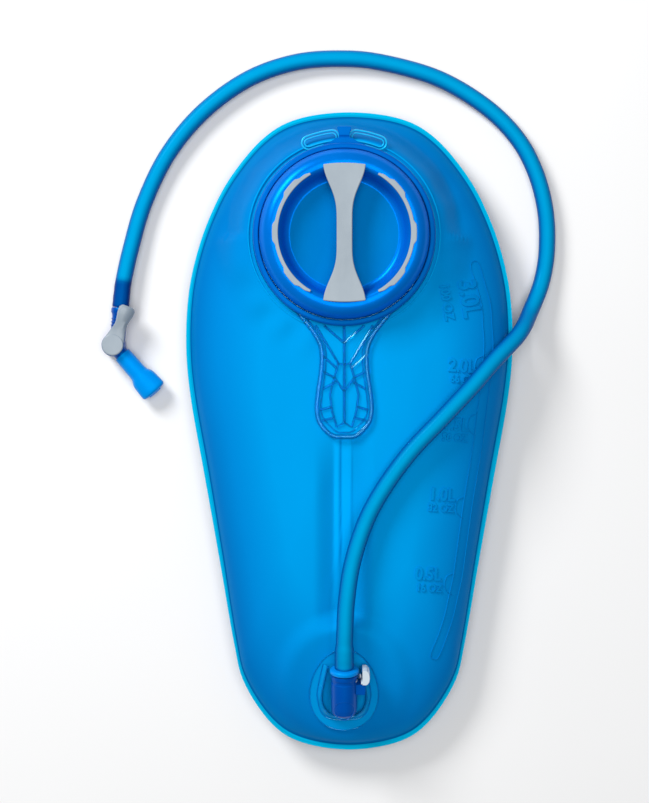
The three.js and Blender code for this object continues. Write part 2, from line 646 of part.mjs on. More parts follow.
function rotorSeal(z) {
  return atBarrel(turned([[5.05, z], [5.25, z - 0.4], [5.6, z - 0.4], [5.8, z], [5.6, z + 0.4], [5.25, z + 0.4]]));
}

const LEVER_ANGLE = 253;             // the paddle's direction in the valve frame

function lever() {
  const [low, top, reach] = [BARREL_HALF + GAP, BARREL_HALF + 2.4, 26];
  const arm = new THREE.Shape();
  arm.moveTo(0, -6.8);
  arm.quadraticCurveTo(11, -3.2, reach - 4, -4.9);
  arm.quadraticCurveTo(reach + 2.6, -4.8, reach + 1.4, 0);
  arm.quadraticCurveTo(reach, 4.6, reach - 4, 4.9);
  arm.quadraticCurveTo(11, 3.6, 0, 6.8);
  arm.closePath();
  const paddle = box([reach - 3.4, -3.8, 6.2], [reach - 0.8, 3.8, top + 2.6]);
  const keyhole = box([-2.5, -2.5, 0], [2.5, 2.5, 20]);
  const flat = cylinder(7, low, top).add(prism(arm, low, top)).add(paddle);
  const turnedLever = flat.rotate([0, 0, LEVER_ANGLE]).subtract(keyhole);
  return atBarrel(turnedLever);
}

// The soft bite piece: a flared blade over the spigot, with a slit for a mouth.
function mouthpiece() {
  const [start, flare, end] = [MOUTH_START, 25, 41];
  const [neckHalf, lipHalf] = [6, 8.9];
  const shape = new THREE.Shape();
  shape.moveTo(start, -neckHalf);
  shape.lineTo(flare, -neckHalf - 0.2);
  shape.bezierCurveTo(flare + 3, -neckHalf - 0.6, flare + 3, -lipHalf + 0.6, flare + 6, -lipHalf + 0.4);
  shape.lineTo(end - 1, -lipHalf);
  shape.quadraticCurveTo(end + 1.6, 0, end - 1, lipHalf);
  shape.lineTo(flare + 6, lipHalf - 0.4);
  shape.bezierCurveTo(flare + 3, lipHalf - 0.6, flare + 3, neckHalf + 0.6, flare, neckHalf + 0.2);
  shape.lineTo(start, neckHalf);
  shape.closePath();
  const room = cylinder(4.4, start - 1, 28.6).rotate([0, 90, 0]);
  const slit = box([28, -5, -0.4], [end + 4, 5, 0.4]);
  const blade = prism(shape, -5.6, 5.6).subtract(room).subtract(slit);
  return atBarrel(blade.rotate([0, 0, MOUTH_ANGLE]));
}

piece(valve, 'valve_body', valveBody(), 'coupling');
piece(valve, 'valve_rotor', rotor(), 'pale');
piece(valve, 'rotor_seal_lower', rotorSeal(-4.2), 'seal');
piece(valve, 'rotor_seal_upper', rotorSeal(4.2), 'seal');
piece(valve, 'valve_lever', lever(), 'grip');
piece(valve, 'mouthpiece', mouthpiece(), 'mouth');

export default bladder;
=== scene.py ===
"""Hydration bladder: the visual model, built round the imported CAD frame.

Shapes are worked out in millimetres, in the CAD frame, and written to Blender in metres.
"""

import math

import bmesh
import bpy
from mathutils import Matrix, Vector, noise


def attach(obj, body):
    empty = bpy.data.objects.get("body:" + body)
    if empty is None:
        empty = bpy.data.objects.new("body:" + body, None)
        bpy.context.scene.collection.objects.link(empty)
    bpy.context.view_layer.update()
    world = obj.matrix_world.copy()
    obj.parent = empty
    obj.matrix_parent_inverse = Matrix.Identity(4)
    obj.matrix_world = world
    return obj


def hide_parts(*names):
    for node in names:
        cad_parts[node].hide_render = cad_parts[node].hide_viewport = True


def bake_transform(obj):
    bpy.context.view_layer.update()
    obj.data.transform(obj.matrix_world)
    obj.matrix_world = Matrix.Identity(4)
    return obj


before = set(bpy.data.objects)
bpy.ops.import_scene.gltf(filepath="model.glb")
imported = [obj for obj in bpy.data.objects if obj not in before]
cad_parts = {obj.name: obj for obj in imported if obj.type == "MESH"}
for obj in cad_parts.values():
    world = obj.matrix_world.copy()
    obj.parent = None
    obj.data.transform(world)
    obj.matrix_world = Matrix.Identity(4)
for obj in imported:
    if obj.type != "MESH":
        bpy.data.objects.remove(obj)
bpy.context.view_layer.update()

MM = 0.001

# ---- Driving dimensions, as in the CAD model ----------------------------------------------------

BAG_TOP = 210
SEAM_Z = 20
CROWN_Z = 45
RIM_WIDTH = 3.6
BAG_CENTRE_Y = 10
MIDLINE_X = -3.7
PORT_Y = 127
PORT_Z = CROWN_Z
PORT_SEAT_R = 60
MOUTH_R = 44
HINGE_R = 63
OUTLET_Y = -163.2
OUTLET_Z = 36
OUTLET_TILT = math.radians(14)
OUTLET_SEAT = (34, 47)                 # flat within the first radius, plain film past the second
PAD_Y = -5.2
PAD_HALF = (22.6, 28.4)
AXIS_H = 11.5
HOSE_R = 5.5
HOSE_BORE_R = 3.5
VALVE_PLACE = (-152.1, 81.6, 8.6)
VALVE_TURN = math.radians(174.5)
BARREL = (2, 25)
MOUTH_ANGLE = math.radians(136.5)
LEVER_ANGLE = math.radians(253)

OUTLINE_SIDE = [
    (34, 205.6), (57, 192.6), (78.4, 167), (92, 141), (101.2, 114), (106.3, 87), (107.5, 54),
    (104.3, 20), (94.8, -33), (85.2, -87), (76, -140), (69.3, -166), (52, -192), (32, -205),
]

# The hose's centreline, the same points as in the CAD model.
HOSE_ROUTE = [
    (MIDLINE_X, -152.1, 50.6), (MIDLINE_X, -142.4, 53), (-3.4, -129, 55.2), (-2.2, -108, 55.6),
    (1.6, -84, 54.2), (10, -58, 52.6), (22, -36, 51.8), (39, -13, 51), (60, 9, 49.4), (79, 29, 45.2),
    (95, 47, 38), (111.5, 64, 27), (120.5, 80, 13.2), (128.3, 99, 7), (131.8, 120, 5.9), (131, 146, 5.9),
    (124.4, 172, 5.9), (112, 195, 5.9), (91, 216, 5.9), (60, 234.5, 5.9), (24, 245, 5.9),
    (-4, 248, 5.9), (-36, 245.5, 5.9), (-68, 234, 5.9), (-98, 212, 5.9), (-121, 184, 5.9),
    (-136.5, 152, 6), (-145.2, 122, 7.3), (-150, 100, 8.5), (-151.2, 91, 8.6), (-152.07, 82, 8.6),
]


# ---- Camera and floor ----------------------------------------------------------------------------

def camera():
    """Straight above, a little left of the bag, as far off as a studio camera."""
    data = bpy.data.cameras.new("camera")
    data.lens = 87
    data.sensor_width = 36
    place = bpy.data.objects.new("camera", data)
    place.location = (-0.0164, 0.0194, 1.3)
    bpy.context.scene.collection.objects.link(place)
    bpy.context.scene.camera = place


def floor(finish):
    size = 3.0
    mesh = bpy.data.meshes.new("floor")
    corners = [(-size, -size, 0), (size, -size, 0), (size, size, 0), (-size, size, 0)]
    mesh.from_pydata(corners, [], [(0, 1, 2, 3)])
    mesh.materials.append(finish)
    plane = bpy.data.objects.new("floor", mesh)
    plane.location.z = -0.0002
    bpy.context.scene.collection.objects.link(plane)


def area_light(name, place, target, size, power):
    data = bpy.data.lights.new(name, "AREA")
    data.shape = "DISK"
    data.size = size
    data.energy = power
    lamp = bpy.data.objects.new(name, data)
    lamp.location = place
    lamp.rotation_euler = (Vector(target) - Vector(place)).to_track_quat("-Z", "Y").to_euler()
    bpy.context.scene.collection.objects.link(lamp)


def lights():
    area_light("key", (-0.85, 0.95, 0.95), (0, 0.05, 0), 0.6, 20)
    area_light("overhead", (0.1, -0.05, 2.6), (0, 0, 0), 2.0, 43)
    bpy.context.scene.view_settings.view_transform = "Standard"
    world = bpy.data.worlds.new("studio")
    bpy.context.scene.world = world
    world.use_nodes = True
    background = world.node_tree.nodes["Background"]
    background.inputs["Color"].default_value = (0.97, 0.98, 1.0, 1)
    background.inputs["Strength"].default_value = 0.22


# ---- Materials -----------------------------------------------------------------------------------

BLUE_GLOSS = (0.0, 0.5, 1.0, 1)       # the tint of the highlights on the blue plastics
CLEAR_GLOSS = (0.4, 0.9, 1.0, 1)      # and on the clear mouldings


class Finish:
    """A Principled material with its node tree in reach."""

    def __init__(self, name, **sockets):
        self.material = bpy.data.materials.new(name)
        self.material.use_nodes = True
        self.nodes = self.material.node_tree.nodes
        self.links = self.material.node_tree.links
        self.shader = self.nodes["Principled BSDF"]
        self.coords = self.nodes.new("ShaderNodeTexCoord")
        for socket, value in sockets.items():
            self.shader.inputs[socket.replace("_", " ")].default_value = value

    def noise(self, scale, detail=3.0, stretch=(1, 1, 1)):
        mapping = self.nodes.new("ShaderNodeMapping")
        mapping.inputs["Scale"].default_value = stretch
        self.links.new(self.coords.outputs["Object"], mapping.inputs["Vector"])
        texture = self.nodes.new("ShaderNodeTexNoise")
        texture.inputs["Scale"].default_value = scale
        texture.inputs["Detail"].default_value = detail
        self.links.new(mapping.outputs["Vector"], texture.inputs["Vector"])
        return texture.outputs["Fac"]

    def ramp(self, factor, stops):
        node = self.nodes.new("ShaderNodeValToRGB")
        ramp = node.color_ramp
        while len(ramp.elements) < len(stops):
            ramp.elements.new(0.5)
        for element, (position, colour) in zip(ramp.elements, stops):
            element.position = position
            element.color = (*colour, 1)
        self.links.new(factor, node.inputs["Fac"])
        return node.outputs["Color"]

    def attribute(self, name):
        node = self.nodes.new("ShaderNodeAttribute")
        node.attribute_name = name
        return node.outputs["Fac"]

    def mix(self, kind, factor, a, b):
        node = self.nodes.new("ShaderNodeMix")
        node.data_type = "RGBA"
        node.blend_type = kind
        node.inputs["Factor"].default_value = factor
        self.links.new(a, node.inputs["A"])
        self.links.new(b, node.inputs["B"])
        return node.outputs["Result"]

    def colour(self, output):
        self.links.new(output, self.shader.inputs["Base Color"])

    def roughness(self, factor, low, high):
        node = self.nodes.new("ShaderNodeMapRange")
        node.inputs["To Min"].default_value = low
        node.inputs["To Max"].default_value = high
        self.links.new(factor, node.inputs["Value"])
        self.links.new(node.outputs["Result"], self.shader.inputs["Roughness"])

    def bump(self, height, distance, strength=0.4):
        node = self.nodes.new("ShaderNodeBump")
        node.inputs["Distance"].default_value = distance
        node.inputs["Strength"].default_value = strength
        self.links.new(height, node.inputs["Height"])
        self.links.new(node.outputs["Normal"], self.shader.inputs["Normal"])


def film_finish():
    """Welded polymer film, with painted shade in its colour: bright where it lies flat, darker where it turns
    down to the rim.
    """
    film = Finish("film", IOR=1.3, Specular_IOR_Level=0.2, Specular_Tint=BLUE_GLOSS)
    # Painted shade: darker from the flat crown out to where the film slopes down to the rim; the dark stop at
    # the weld and the lighter flange past it are the film's own colour.
    body = film.ramp(film.attribute("edge"), [
        (0.0, (0.0, 0.37, 0.85)), (0.50, (0.0, 0.37, 0.85)), (0.74, (0.0, 0.27, 0.71)),
        (0.86, (0.0, 0.20, 0.58)), (0.893, (0.0, 0.22, 0.58)), (0.905, (0.0, 0.06, 0.28)),
        (0.92, (0.0, 0.42, 0.72)), (1.0, (0.0, 0.54, 0.84)),
    ])
    cloud = film.ramp(film.noise(14, 2, (1, 0.22, 1)), [(0.3, (0.88, 0.90, 0.93)), (0.7, (1.0, 1.0, 1.0))])
    # A painted highlight along the strip welded to the baffle, a painted shadow past its right edge, and the
    # dark seam line; plain film takes the darker plain tone.
    strip_highlight_and_shadow = film.ramp(film.attribute("weld"), [
        (0.0, (0.75, 0.80, 0.82)), (0.5, (1.0, 1.0, 1.0)), (1.0, (0.4, 0.5, 0.62)),
    ])
    film.colour(film.mix("MULTIPLY", 1.0, film.mix("MULTIPLY", 1.0, body, cloud), strip_highlight_and_shadow))
    film.roughness(film.noise(30, 4), 0.26, 0.42)
    film.bump(film.noise(1600, 2), 0.0002, 0.12)
    return film.material


def moulded(name, light, dark, rough, grain=900, grain_depth=0.00012, **sockets):
    """Moulded plastic or rubber: faint flow marks in its colour, and a fine surface grain."""
    finish = Finish(name, **sockets)
    finish.colour(finish.ramp(finish.noise(60, 3, (1, 0.35, 1)), [(0.25, dark), (0.75, light)]))
    finish.roughness(finish.noise(220, 4), rough * 0.8, rough * 1.25)
    finish.bump(finish.noise(grain, 3), grain_depth, 0.25)
    return finish.material


def clear_finish(name, tint, roughness):
    clear = Finish(name, Transmission_Weight=0.85, IOR=1.42, Specular_IOR_Level=0.9,
                   Specular_Tint=CLEAR_GLOSS)
    lighter = tuple(min(1, c * 1.12) for c in tint)
    clear.colour(clear.ramp(clear.noise(40, 2), [(0.2, tint), (0.8, lighter)]))
    clear.roughness(clear.noise(150, 3), roughness * 0.6, roughness * 1.5)
    clear.bump(clear.noise(500, 2), 0.0001, 0.1)
    return clear.material


def steel_finish():
    steel = Finish("spring_wire", Metallic=1.0)
    steel.colour(steel.ramp(steel.noise(300, 3), [(0.3, (0.45, 0.47, 0.5)), (0.7, (0.72, 0.74, 0.76))]))
    steel.roughness(steel.noise(800, 3), 0.2, 0.4)
    return steel.material


def hose_finish():
    """Blue tube with painted shade: darker along its flanks, brighter where its wall faces up or down; deeper
    at its far end where the bite valve's sleeve fills it.
    """
    tube = Finish("hose", Transmission_Weight=0.08, IOR=1.2, Specular_IOR_Level=0.3, Specular_Tint=BLUE_GLOSS)
    # Painted shade: darker where the wall faces sideways, brighter where it faces up or down.
    flank_shade = tube.ramp(tube.attribute("flank"), [
        (0.0, (0.0, 0.06, 0.26)), (0.5, (0.0, 0.11, 0.38)),
        (0.78, (0.0, 0.23, 0.52)), (1.0, (0.0, 0.32, 0.62)),
    ])
    filled = tube.ramp(tube.attribute("filled"), [(0.0, (1.0, 1.0, 1.0)), (1.0, (0.0, 0.24, 0.52))])
    grain = tube.ramp(tube.noise(70, 2), [(0.2, (0.92, 0.95, 0.97)), (0.8, (1.0, 1.0, 1.0))])
    tube.colour(tube.mix("MULTIPLY", 1.0, tube.mix("MULTIPLY", 1.0, flank_shade, filled), grain))
    tube.roughness(tube.noise(40, 3), 0.14, 0.26)
    tube.bump(tube.noise(260, 2), 0.0001, 0.08)
    absorb = tube.nodes.new("ShaderNodeVolumeAbsorption")
    absorb.inputs["Color"].default_value = (0.0, 0.70, 0.88, 1)
    absorb.inputs["Density"].default_value = 300
    tube.links.new(absorb.outputs["Volume"], tube.nodes["Material Output"].inputs["Volume"])
    return tube.material


def floor_finish():
    paper = Finish("floor_paper", Roughness=0.9)
    paper.colour(paper.ramp(paper.noise(3, 2), [(0.3, (0.80, 0.80, 0.80)), (0.7, (0.82, 0.82, 0.82))]))
    return paper.material


FINISH = {
    "film": film_finish(),
    "clear_port": clear_finish("clear_port", (0.0, 0.50, 0.92), 0.04),
    "cap_blue": moulded("cap_blue", (0.0, 0.17, 0.66), (0.0, 0.14, 0.59), 0.3, 700, 0.0001,
                        Metallic=0.3, Specular_IOR_Level=0.3, Specular_Tint=BLUE_GLOSS, IOR=1.3),
    # A darker copy of the cap's blue for the recess floor: painted shade in the lid's recess.
    "cap_floor_painted_shade": moulded("cap_floor_painted_shade", (0.0, 0.15, 0.44), (0.0, 0.125, 0.39), 0.3, 700, 0.0001,
                         Specular_IOR_Level=0.3, Specular_Tint=BLUE_GLOSS),
    # A darker copy of the cap's blue: painted shade on the low tether ring beside the lid, also used for the
    # strap and anchor.
    "ring_painted_shade_blue": moulded("ring_painted_shade_blue", (0.0, 0.11, 0.47), (0.0, 0.09, 0.41), 0.3, 700, 0.0001,
                         Specular_IOR_Level=0.3, Specular_Tint=BLUE_GLOSS),
    # A lighter copy of the clear moulding's blue for the hang tab's lips: painted glints.
    "tab_lip_painted_glint": moulded("tab_lip_painted_glint", (0.02, 0.46, 0.80), (0.0, 0.40, 0.74), 0.15, 700, 0.0001,
                       Specular_IOR_Level=0.5, Specular_Tint=BLUE_GLOSS),
    "port_film": moulded("port_film", (0.0, 0.285, 0.66), (0.0, 0.25, 0.61), 0.25, 700, 0.0001,
                         Specular_IOR_Level=0.3, Specular_Tint=BLUE_GLOSS),
    "seal": moulded("seal", (0.05, 0.055, 0.06), (0.03, 0.032, 0.035), 0.7),
    "grip": moulded("grip", (0.33, 0.385, 0.43), (0.27, 0.32, 0.365), 0.6, 1500, 0.0003),
    "coupling": moulded("coupling", (0.0, 0.075, 0.40), (0.0, 0.05, 0.31), 0.3,
                        Specular_IOR_Level=0.5, Specular_Tint=BLUE_GLOSS),
    "pale_plastic": moulded("pale_plastic", (0.62, 0.71, 0.78), (0.54, 0.64, 0.72), 0.4),
    "lever_grey": moulded("lever_grey", (0.27, 0.325, 0.37), (0.23, 0.28, 0.33), 0.35),
    "spring": steel_finish(),
    "hose": hose_finish(),
    "mouth": moulded("mouth", (0.0, 0.27, 0.76), (0.0, 0.21, 0.68), 0.3, 1200, 0.0002,
                     Specular_IOR_Level=0.4, Specular_Tint=BLUE_GLOSS),
}


# ---- Mesh tools ----------------------------------------------------------------------------------

def at_port(p):
    return (p[0] + MIDLINE_X, p[1] + PORT_Y, p[2] + PORT_Z)


def at_outlet(p):
    c, s = math.cos(OUTLET_TILT), math.sin(OUTLET_TILT)
    return (p[0] + MIDLINE_X, OUTLET_Y + p[1] * c - p[2] * s, OUTLET_Z + p[1] * s + p[2] * c)


def at_valve(p):
    c, s = math.cos(VALVE_TURN), math.sin(VALVE_TURN)
    return (VALVE_PLACE[0] + p[0] * c - p[1] * s, VALVE_PLACE[1] + p[0] * s + p[1] * c, VALVE_PLACE[2] + p[2])


def on_axis(p):
    """From a piece turned about Z to the coupling's axis, along the outlet frame's +Y."""
    return at_outlet((p[0], p[2], AXIS_H - p[1]))


def along_inlet(p):
    """From a piece turned about Z to the hose's line, along the valve frame's +Y."""
    return at_valve((p[0], p[2], -p[1]))


def at_barrel(p):
    return at_valve((p[0] + BARREL[0], p[1] + BARREL[1], p[2]))


def along_mouth(p):
    """From a piece turned about Z to the mouthpiece's line."""
    c, s = math.cos(MOUTH_ANGLE), math.sin(MOUTH_ANGLE)
    return at_barrel((p[2] * c - p[1] * s, p[2] * s + p[1] * c, -p[0]))


def plain(p):
    return p


def turned(profile, sides=96):
    """A solid turned about Z from a profile that starts and ends on the axis, or closes on itself."""
    closed = profile[0][0] > 1e-6
    verts, faces, rows = [], [], []
    for r, z in profile:
        if r < 1e-6:
            rows.append([len(verts)] * sides)
            verts.append((0, 0, z))
            continue
        rows.append(list(range(len(verts), len(verts) + sides)))
        for i in range(sides):
            angle = 2 * math.pi * i / sides
            verts.append((r * math.cos(angle), r * math.sin(angle), z))
    pairs = list(zip(rows, rows[1:] + rows[:1])) if closed else list(zip(rows, rows[1:]))
    for a, b in pairs:
        for i in range(sides):
            j = (i + 1) % sides
            corners = [a[i], a[j], b[j], b[i]]
            face = [v for k, v in enumerate(corners) if v not in corners[:k]]
            if len(face) > 2:
                faces.append(face)
    return verts, faces


def rounded(profile, radius, steps=4, closed=True):
    """The profile with each corner turned into an arc."""
    result = []
    count = len(profile)
    for i, corner in enumerate(profile):
        if not closed and i in (0, count - 1):
            result.append(corner)
            continue
        here = Vector(corner)
        before = Vector(profile[i - 1]) - here
        after = Vector(profile[(i + 1) % count]) - here
        cut = min(radius, before.length * 0.45, after.length * 0.45)
        start = here + before.normalized() * cut
        end = here + after.normalized() * cut
        for k in range(steps + 1):
            t = k / steps
            result.append(tuple(start.lerp(here, t).lerp(here.lerp(end, t), t)))
    return result


def prism(outline, low, high):
    """An outline in X and Y, pulled up from one height to another."""
    count = len(outline)
    verts = [(x, y, low) for x, y in outline] + [(x, y, high) for x, y in outline]
    faces = [tuple(range(count))[::-1], tuple(range(count, 2 * count))]
    for i in range(count):
        j = (i + 1) % count
        faces.append((i, j, count + j, count + i))
    return verts, faces


def spline(points, per_span=8, closed=False):
    """A smooth curve through the points."""
    points = [Vector(p) for p in points]
    count = len(points)
    spans = count if closed else count - 1
    result = []
    for i in range(spans):
        p1, p2 = points[i], points[(i + 1) % count]
        p0 = points[i - 1] if closed or i > 0 else p1 * 2 - p2
        p3 = points[(i + 2) % count] if closed or i + 2 < count else p2 * 2 - p1
        for k in range(per_span):
            t = k / per_span
            a = p1 * 2
            b = (p2 - p0) * t
            c = (p0 * 2 - p1 * 5 + p2 * 4 - p3) * t * t
            d = (p1 * 3 - p0 - p2 * 3 + p3) * t * t * t
            result.append((a + b + c + d) / 2)
    if not closed:
        result.append(points[-1])
    return result


def tube(path, radius, sides=16, bore=0.0, closed=False):
    """A round tube along a path; radius may be a function of the path's share."""
    path = [Vector(p) for p in path]
    count = len(path)
    size = radius if callable(radius) else (lambda t: radius)
    verts, faces = [], []
    tangent = (path[1] - path[0]).normalized()
    side = tangent.cross(Vector((0, 0, 1)))
    if side.length < 0.1:
        side = tangent.cross(Vector((1, 0, 0)))
    side.normalize()
    walls = [1.0] if bore <= 0 else [1.0, None]
    for i, point in enumerate(path):
        ahead = path[(i + 1) % count] if closed or i + 1 < count else point
        behind = path[i - 1] if closed or i > 0 else point
        tangent = (ahead - behind).normalized()
        side = (side - tangent * side.dot(tangent)).normalized()
        up = side.cross(tangent)
        for wall in walls:
            r = size(i / (count - 1)) if wall else bore
            for k in range(sides):
                angle = 2 * math.pi * k / sides
                verts.append(tuple(point + side * (r * math.cos(angle)) + up * (r * math.sin(angle))))
    stride = sides * len(walls)

    def index(i, wall, k):
        return (i % count) * stride + wall * sides + k % sides

    def quad_at(i, wall, k):
        return [index(i, wall, k), index(i, wall, k + 1), index(i + 1, wall, k + 1), index(i + 1, wall, k)]

    for i in range(count if closed else count - 1):
        for wall in range(len(walls)):
            for k in range(sides):
                quad = quad_at(i, wall, k)
                faces.append(quad if wall == 0 else quad[::-1])
    if not closed:
        for i, flip in ((0, True), (count - 1, False)):
            if bore > 0:
                for k in range(sides):
                    quad = [index(i, 0, k), index(i, 0, k + 1), index(i, 1, k + 1), index(i, 1, k)]
                    faces.append(quad[::-1] if flip else quad)
            else:
                ring = [index(i, 0, k) for k in range(sides)]
                faces.append(ring[::-1] if flip else ring)
    return verts, faces


def joined(*parts):
    verts, faces = [], []
    for part_verts, part_faces in parts:
        base = len(verts)
        verts += part_verts
        faces += [[base + v for v in face] for face in part_faces]
    return verts, faces


def moved(part, place):
    return [place(v) for v in part[0]], part[1]


def piece(name, part, slot, body, place=plain, replaces=(), bevel=0.0, sharp=38, finish=None):
    """A mesh piece in metres, with its finish, on its body."""
    verts = [Vector(place(v)) * MM for v in part[0]]
    mesh = bpy.data.meshes.new(name)
    mesh.from_pydata(verts, [], [tuple(face) for face in part[1]])
    mesh.validate()
    mesh.materials.append(FINISH[finish or slot])
    piece_object = bpy.data.objects.new(name, mesh)
    bpy.context.scene.collection.objects.link(piece_object)
    turn_outwards(mesh)
    mesh.shade_smooth()
    mesh.set_sharp_from_angle(angle=math.radians(sharp))
    if bevel > 0:
        soften = piece_object.modifiers.new("bevel", "BEVEL")
        soften.width = bevel * MM
        soften.segments = 3
        soften.limit_method = "ANGLE"
        soften.angle_limit = math.radians(35)
        soften.harden_normals = True
    if body:
        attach(piece_object, body)
    if replaces:
        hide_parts(*replaces)
    return piece_object


def turn_outwards(mesh, merge=0.0):
    work = bmesh.new()
    work.from_mesh(mesh)
    if merge > 0:
        bmesh.ops.remove_doubles(work, verts=work.verts, dist=merge)
    bmesh.ops.recalc_face_normals(work, faces=work.faces)
    work.to_mesh(mesh)
    work.free()


def smooth(low, high, value):
    t = min(1, max(0, (value - low) / (high - low)))
    return t * t * (3 - 2 * t)


def bell(offset, width):
    return math.exp(-(offset / width) ** 2)


# ---- Bag -----------------------------------------------------------------------------------------

def outline_polar():
    right = [(x, y, 0) for x, y in OUTLINE_SIDE]
    left = [(-x, y, 0) for x, y in reversed(OUTLINE_SIDE)]
    loop = spline([(0, BAG_TOP, 0), *right, (0, -BAG_TOP, 0), *left], 24, closed=True)
    offsets = [(p.x, p.y - BAG_CENTRE_Y) for p in loop]
    return sorted((math.atan2(y, x), math.hypot(x, y)) for x, y in offsets)


POLAR = outline_polar()
TABLE_SIZE = 1440


def outline_table():
    table, k = [], 0
    for i in range(TABLE_SIZE):
        angle = -math.pi + 2 * math.pi * i / TABLE_SIZE
        while k < len(POLAR) and POLAR[k][0] < angle:
            k += 1
        (a0, r0), (a1, r1) = POLAR[k - 1], POLAR[k % len(POLAR)]
        span = (a1 - a0) % (2 * math.pi)
        t = ((angle - a0) % (2 * math.pi)) / span if span > 1e-9 else 0
        table.append(r0 + (r1 - r0) * t)
    return table


OUTLINE = outline_table()


def outline_radius(angle):
    where = (angle + math.pi) / (2 * math.pi) * TABLE_SIZE
    i = math.floor(where)
    t = where - i
    return OUTLINE[i % TABLE_SIZE] * (1 - t) + OUTLINE[(i + 1) % TABLE_SIZE] * t


def share(x, y):
    """How far out a place is: 0 at the bag's centre, 1 where the weld rim begins."""
    dy = y - BAG_CENTRE_Y
    return math.hypot(x, dy) / (outline_radius(math.atan2(dy, x)) - RIM_WIDTH)


def past_weld(x, y):
    """The distance out from where the weld rim begins."""
    dy = y - BAG_CENTRE_Y
    return math.hypot(x, dy) - outline_radius(math.atan2(dy, x)) + RIM_WIDTH


STRIP = (-6.9, 3.5)                    # the baffle's weld, from side to side of the midline
SEAM = -2.3


def valley_along(y):
    """How much of the baffle's weld valley there is at this distance along the bag."""
    return smooth(-165, -135, y) * (1 - smooth(-40, 10, y))


def front_z(x, y):
    """The front film's height: a crowned pillow with seats for the two ports and a weld valley."""
    rim = SEAM_Z + 0.9
    s = min(1, share(x, y))
    z = rim + (CROWN_Z - rim) * (1 - s ** 3) ** 0.7
    z -= 6 * valley_along(y) * (1 - smooth(3, 20, abs(x - MIDLINE_X)))
    if s >= 1:
        return z
    reach = 78 if y > PORT_Y else 86
    z += (PORT_Z - z) * (1 - smooth(PORT_SEAT_R, reach, math.hypot(x - MIDLINE_X, y - PORT_Y)))
    seat = OUTLET_Z + (y - OUTLET_Y) * math.tan(OUTLET_TILT)
    z += (seat - z) * (1 - smooth(*OUTLET_SEAT, math.hypot(x - MIDLINE_X, y - OUTLET_Y)))
    return z


def front_detail(x, y):
    """Weld seam, strain folds and the film's slight unevenness, over the plain height."""
    s = share(x, y)
    if s >= 1:
        out = past_weld(x, y)
        return 0.3 * bell(out - 1.7, 0.5) - 0.25 * bell(out, 0.35)
    fade = smooth(0.0, 0.05, 1 - s)
    from_port = math.hypot(x - MIDLINE_X, y - PORT_Y)
    from_outlet = math.hypot(x - MIDLINE_X, y - OUTLET_Y)
    clear = smooth(59, 68, from_port) * smooth(33, 40, from_outlet)
    around = math.atan2(y - PORT_Y, x - MIDLINE_X)
    folds = 0.55 * math.cos(17 * around + 2 * math.sin(3 * around)) * bell(from_port - 72, 9)
    wave = 0.35 * noise.noise(Vector((x / 46, y / 70, 0.3))) + 0.12 * noise.noise(Vector((x / 13, y / 19, 4)))
    across = x - MIDLINE_X
    strip = valley_along(y) * (1 - smooth(4.6, 6.0, abs(across)))
    seam = -0.4 * valley_along(y) * bell(across - SEAM, 0.8)
    return fade * clear * (folds + wave) * (1 - 0.8 * strip) + 0.9 * strip + seam


def weld_strip_painted_light(x, y):
    """0 for plain film, 0.5 for the painted highlight on the strip welded to the baffle, up to 1 for the dark
    seam line and the painted shadow beside the strip.
    """
    across = x - MIDLINE_X
    along = smooth(-152, -140, y) * (1 - smooth(-6, 4, y))
    left, right = STRIP
    # strip: the band that takes the painted highlight; line: the dark seam, plus a painted shadow just past
    # the strip's right edge.
    strip = smooth(left - 1.5, left + 1.5, across) * (1 - smooth(right - 0.3, right + 0.3, across))
    line = bell(across - SEAM, 0.8) + 0.9 * bell(across - right - 0.5, 0.6)
    return along * (0.5 * strip + 0.45 * min(1, line))


def back_z(x, y):
    rim = SEAM_Z - 0.9
    s = min(1, share(x, y))
    return max(0, rim - (rim + 0.6) * (1 - s ** 5) ** 0.55)


EDGE_AT_WELD = 0.9                     # the value of "edge" where the weld rim begins


def film_sheet(height, detail, hole_clear=None):
    """One film as a fine radial sheet, with an attribute that says how near the rim each place is."""
    spokes, film_rings, rim_rings = 360, 96, 13
    verts, edge, faces = [(0, BAG_CENTRE_Y, height(0, BAG_CENTRE_Y))], [0.0], []
    shares = [(i / film_rings) ** 0.85 for i in range(1, film_rings + 1)]
    shares += [1 + i / rim_rings for i in range(1, rim_rings + 1)]
    for t in shares:
        for i in range(spokes):
            angle = -math.pi + 2 * math.pi * i / spokes
            weld = outline_radius(angle) - RIM_WIDTH
            r = weld * t if t <= 1 else weld + RIM_WIDTH * (t - 1)
            x, y = r * math.cos(angle), BAG_CENTRE_Y + r * math.sin(angle)
            verts.append((x, y, height(x, y) + detail(x, y)))
            edge.append(EDGE_AT_WELD * t if t <= 1 else EDGE_AT_WELD + (1 - EDGE_AT_WELD) * (t - 1))
    for i in range(spokes):
        j = (i + 1) % spokes
        faces.append((0, 1 + i, 1 + j))
        for row in range(len(shares) - 1):
            a, b = 1 + row * spokes, 1 + (row + 1) * spokes
            faces.append((a + i, b + i, b + j, a + j))
    if hole_clear:
        faces = [f for f in faces if not all(hole_clear(*verts[v][:2]) for v in f)]
    return (verts, faces), edge


def store(target, label, values):
    """A number at each vertex, for the material to read."""
    layer = target.data.attributes.new(label, "FLOAT", "POINT")
    layer.data.foreach_set("value", values)


FILM_WALL = 0.7


def thicken(film, thickness, offset):
    wall = film.modifiers.new("film_wall", "SOLIDIFY")
    wall.thickness = thickness * MM
    wall.offset = offset
    wall.use_even_offset = False


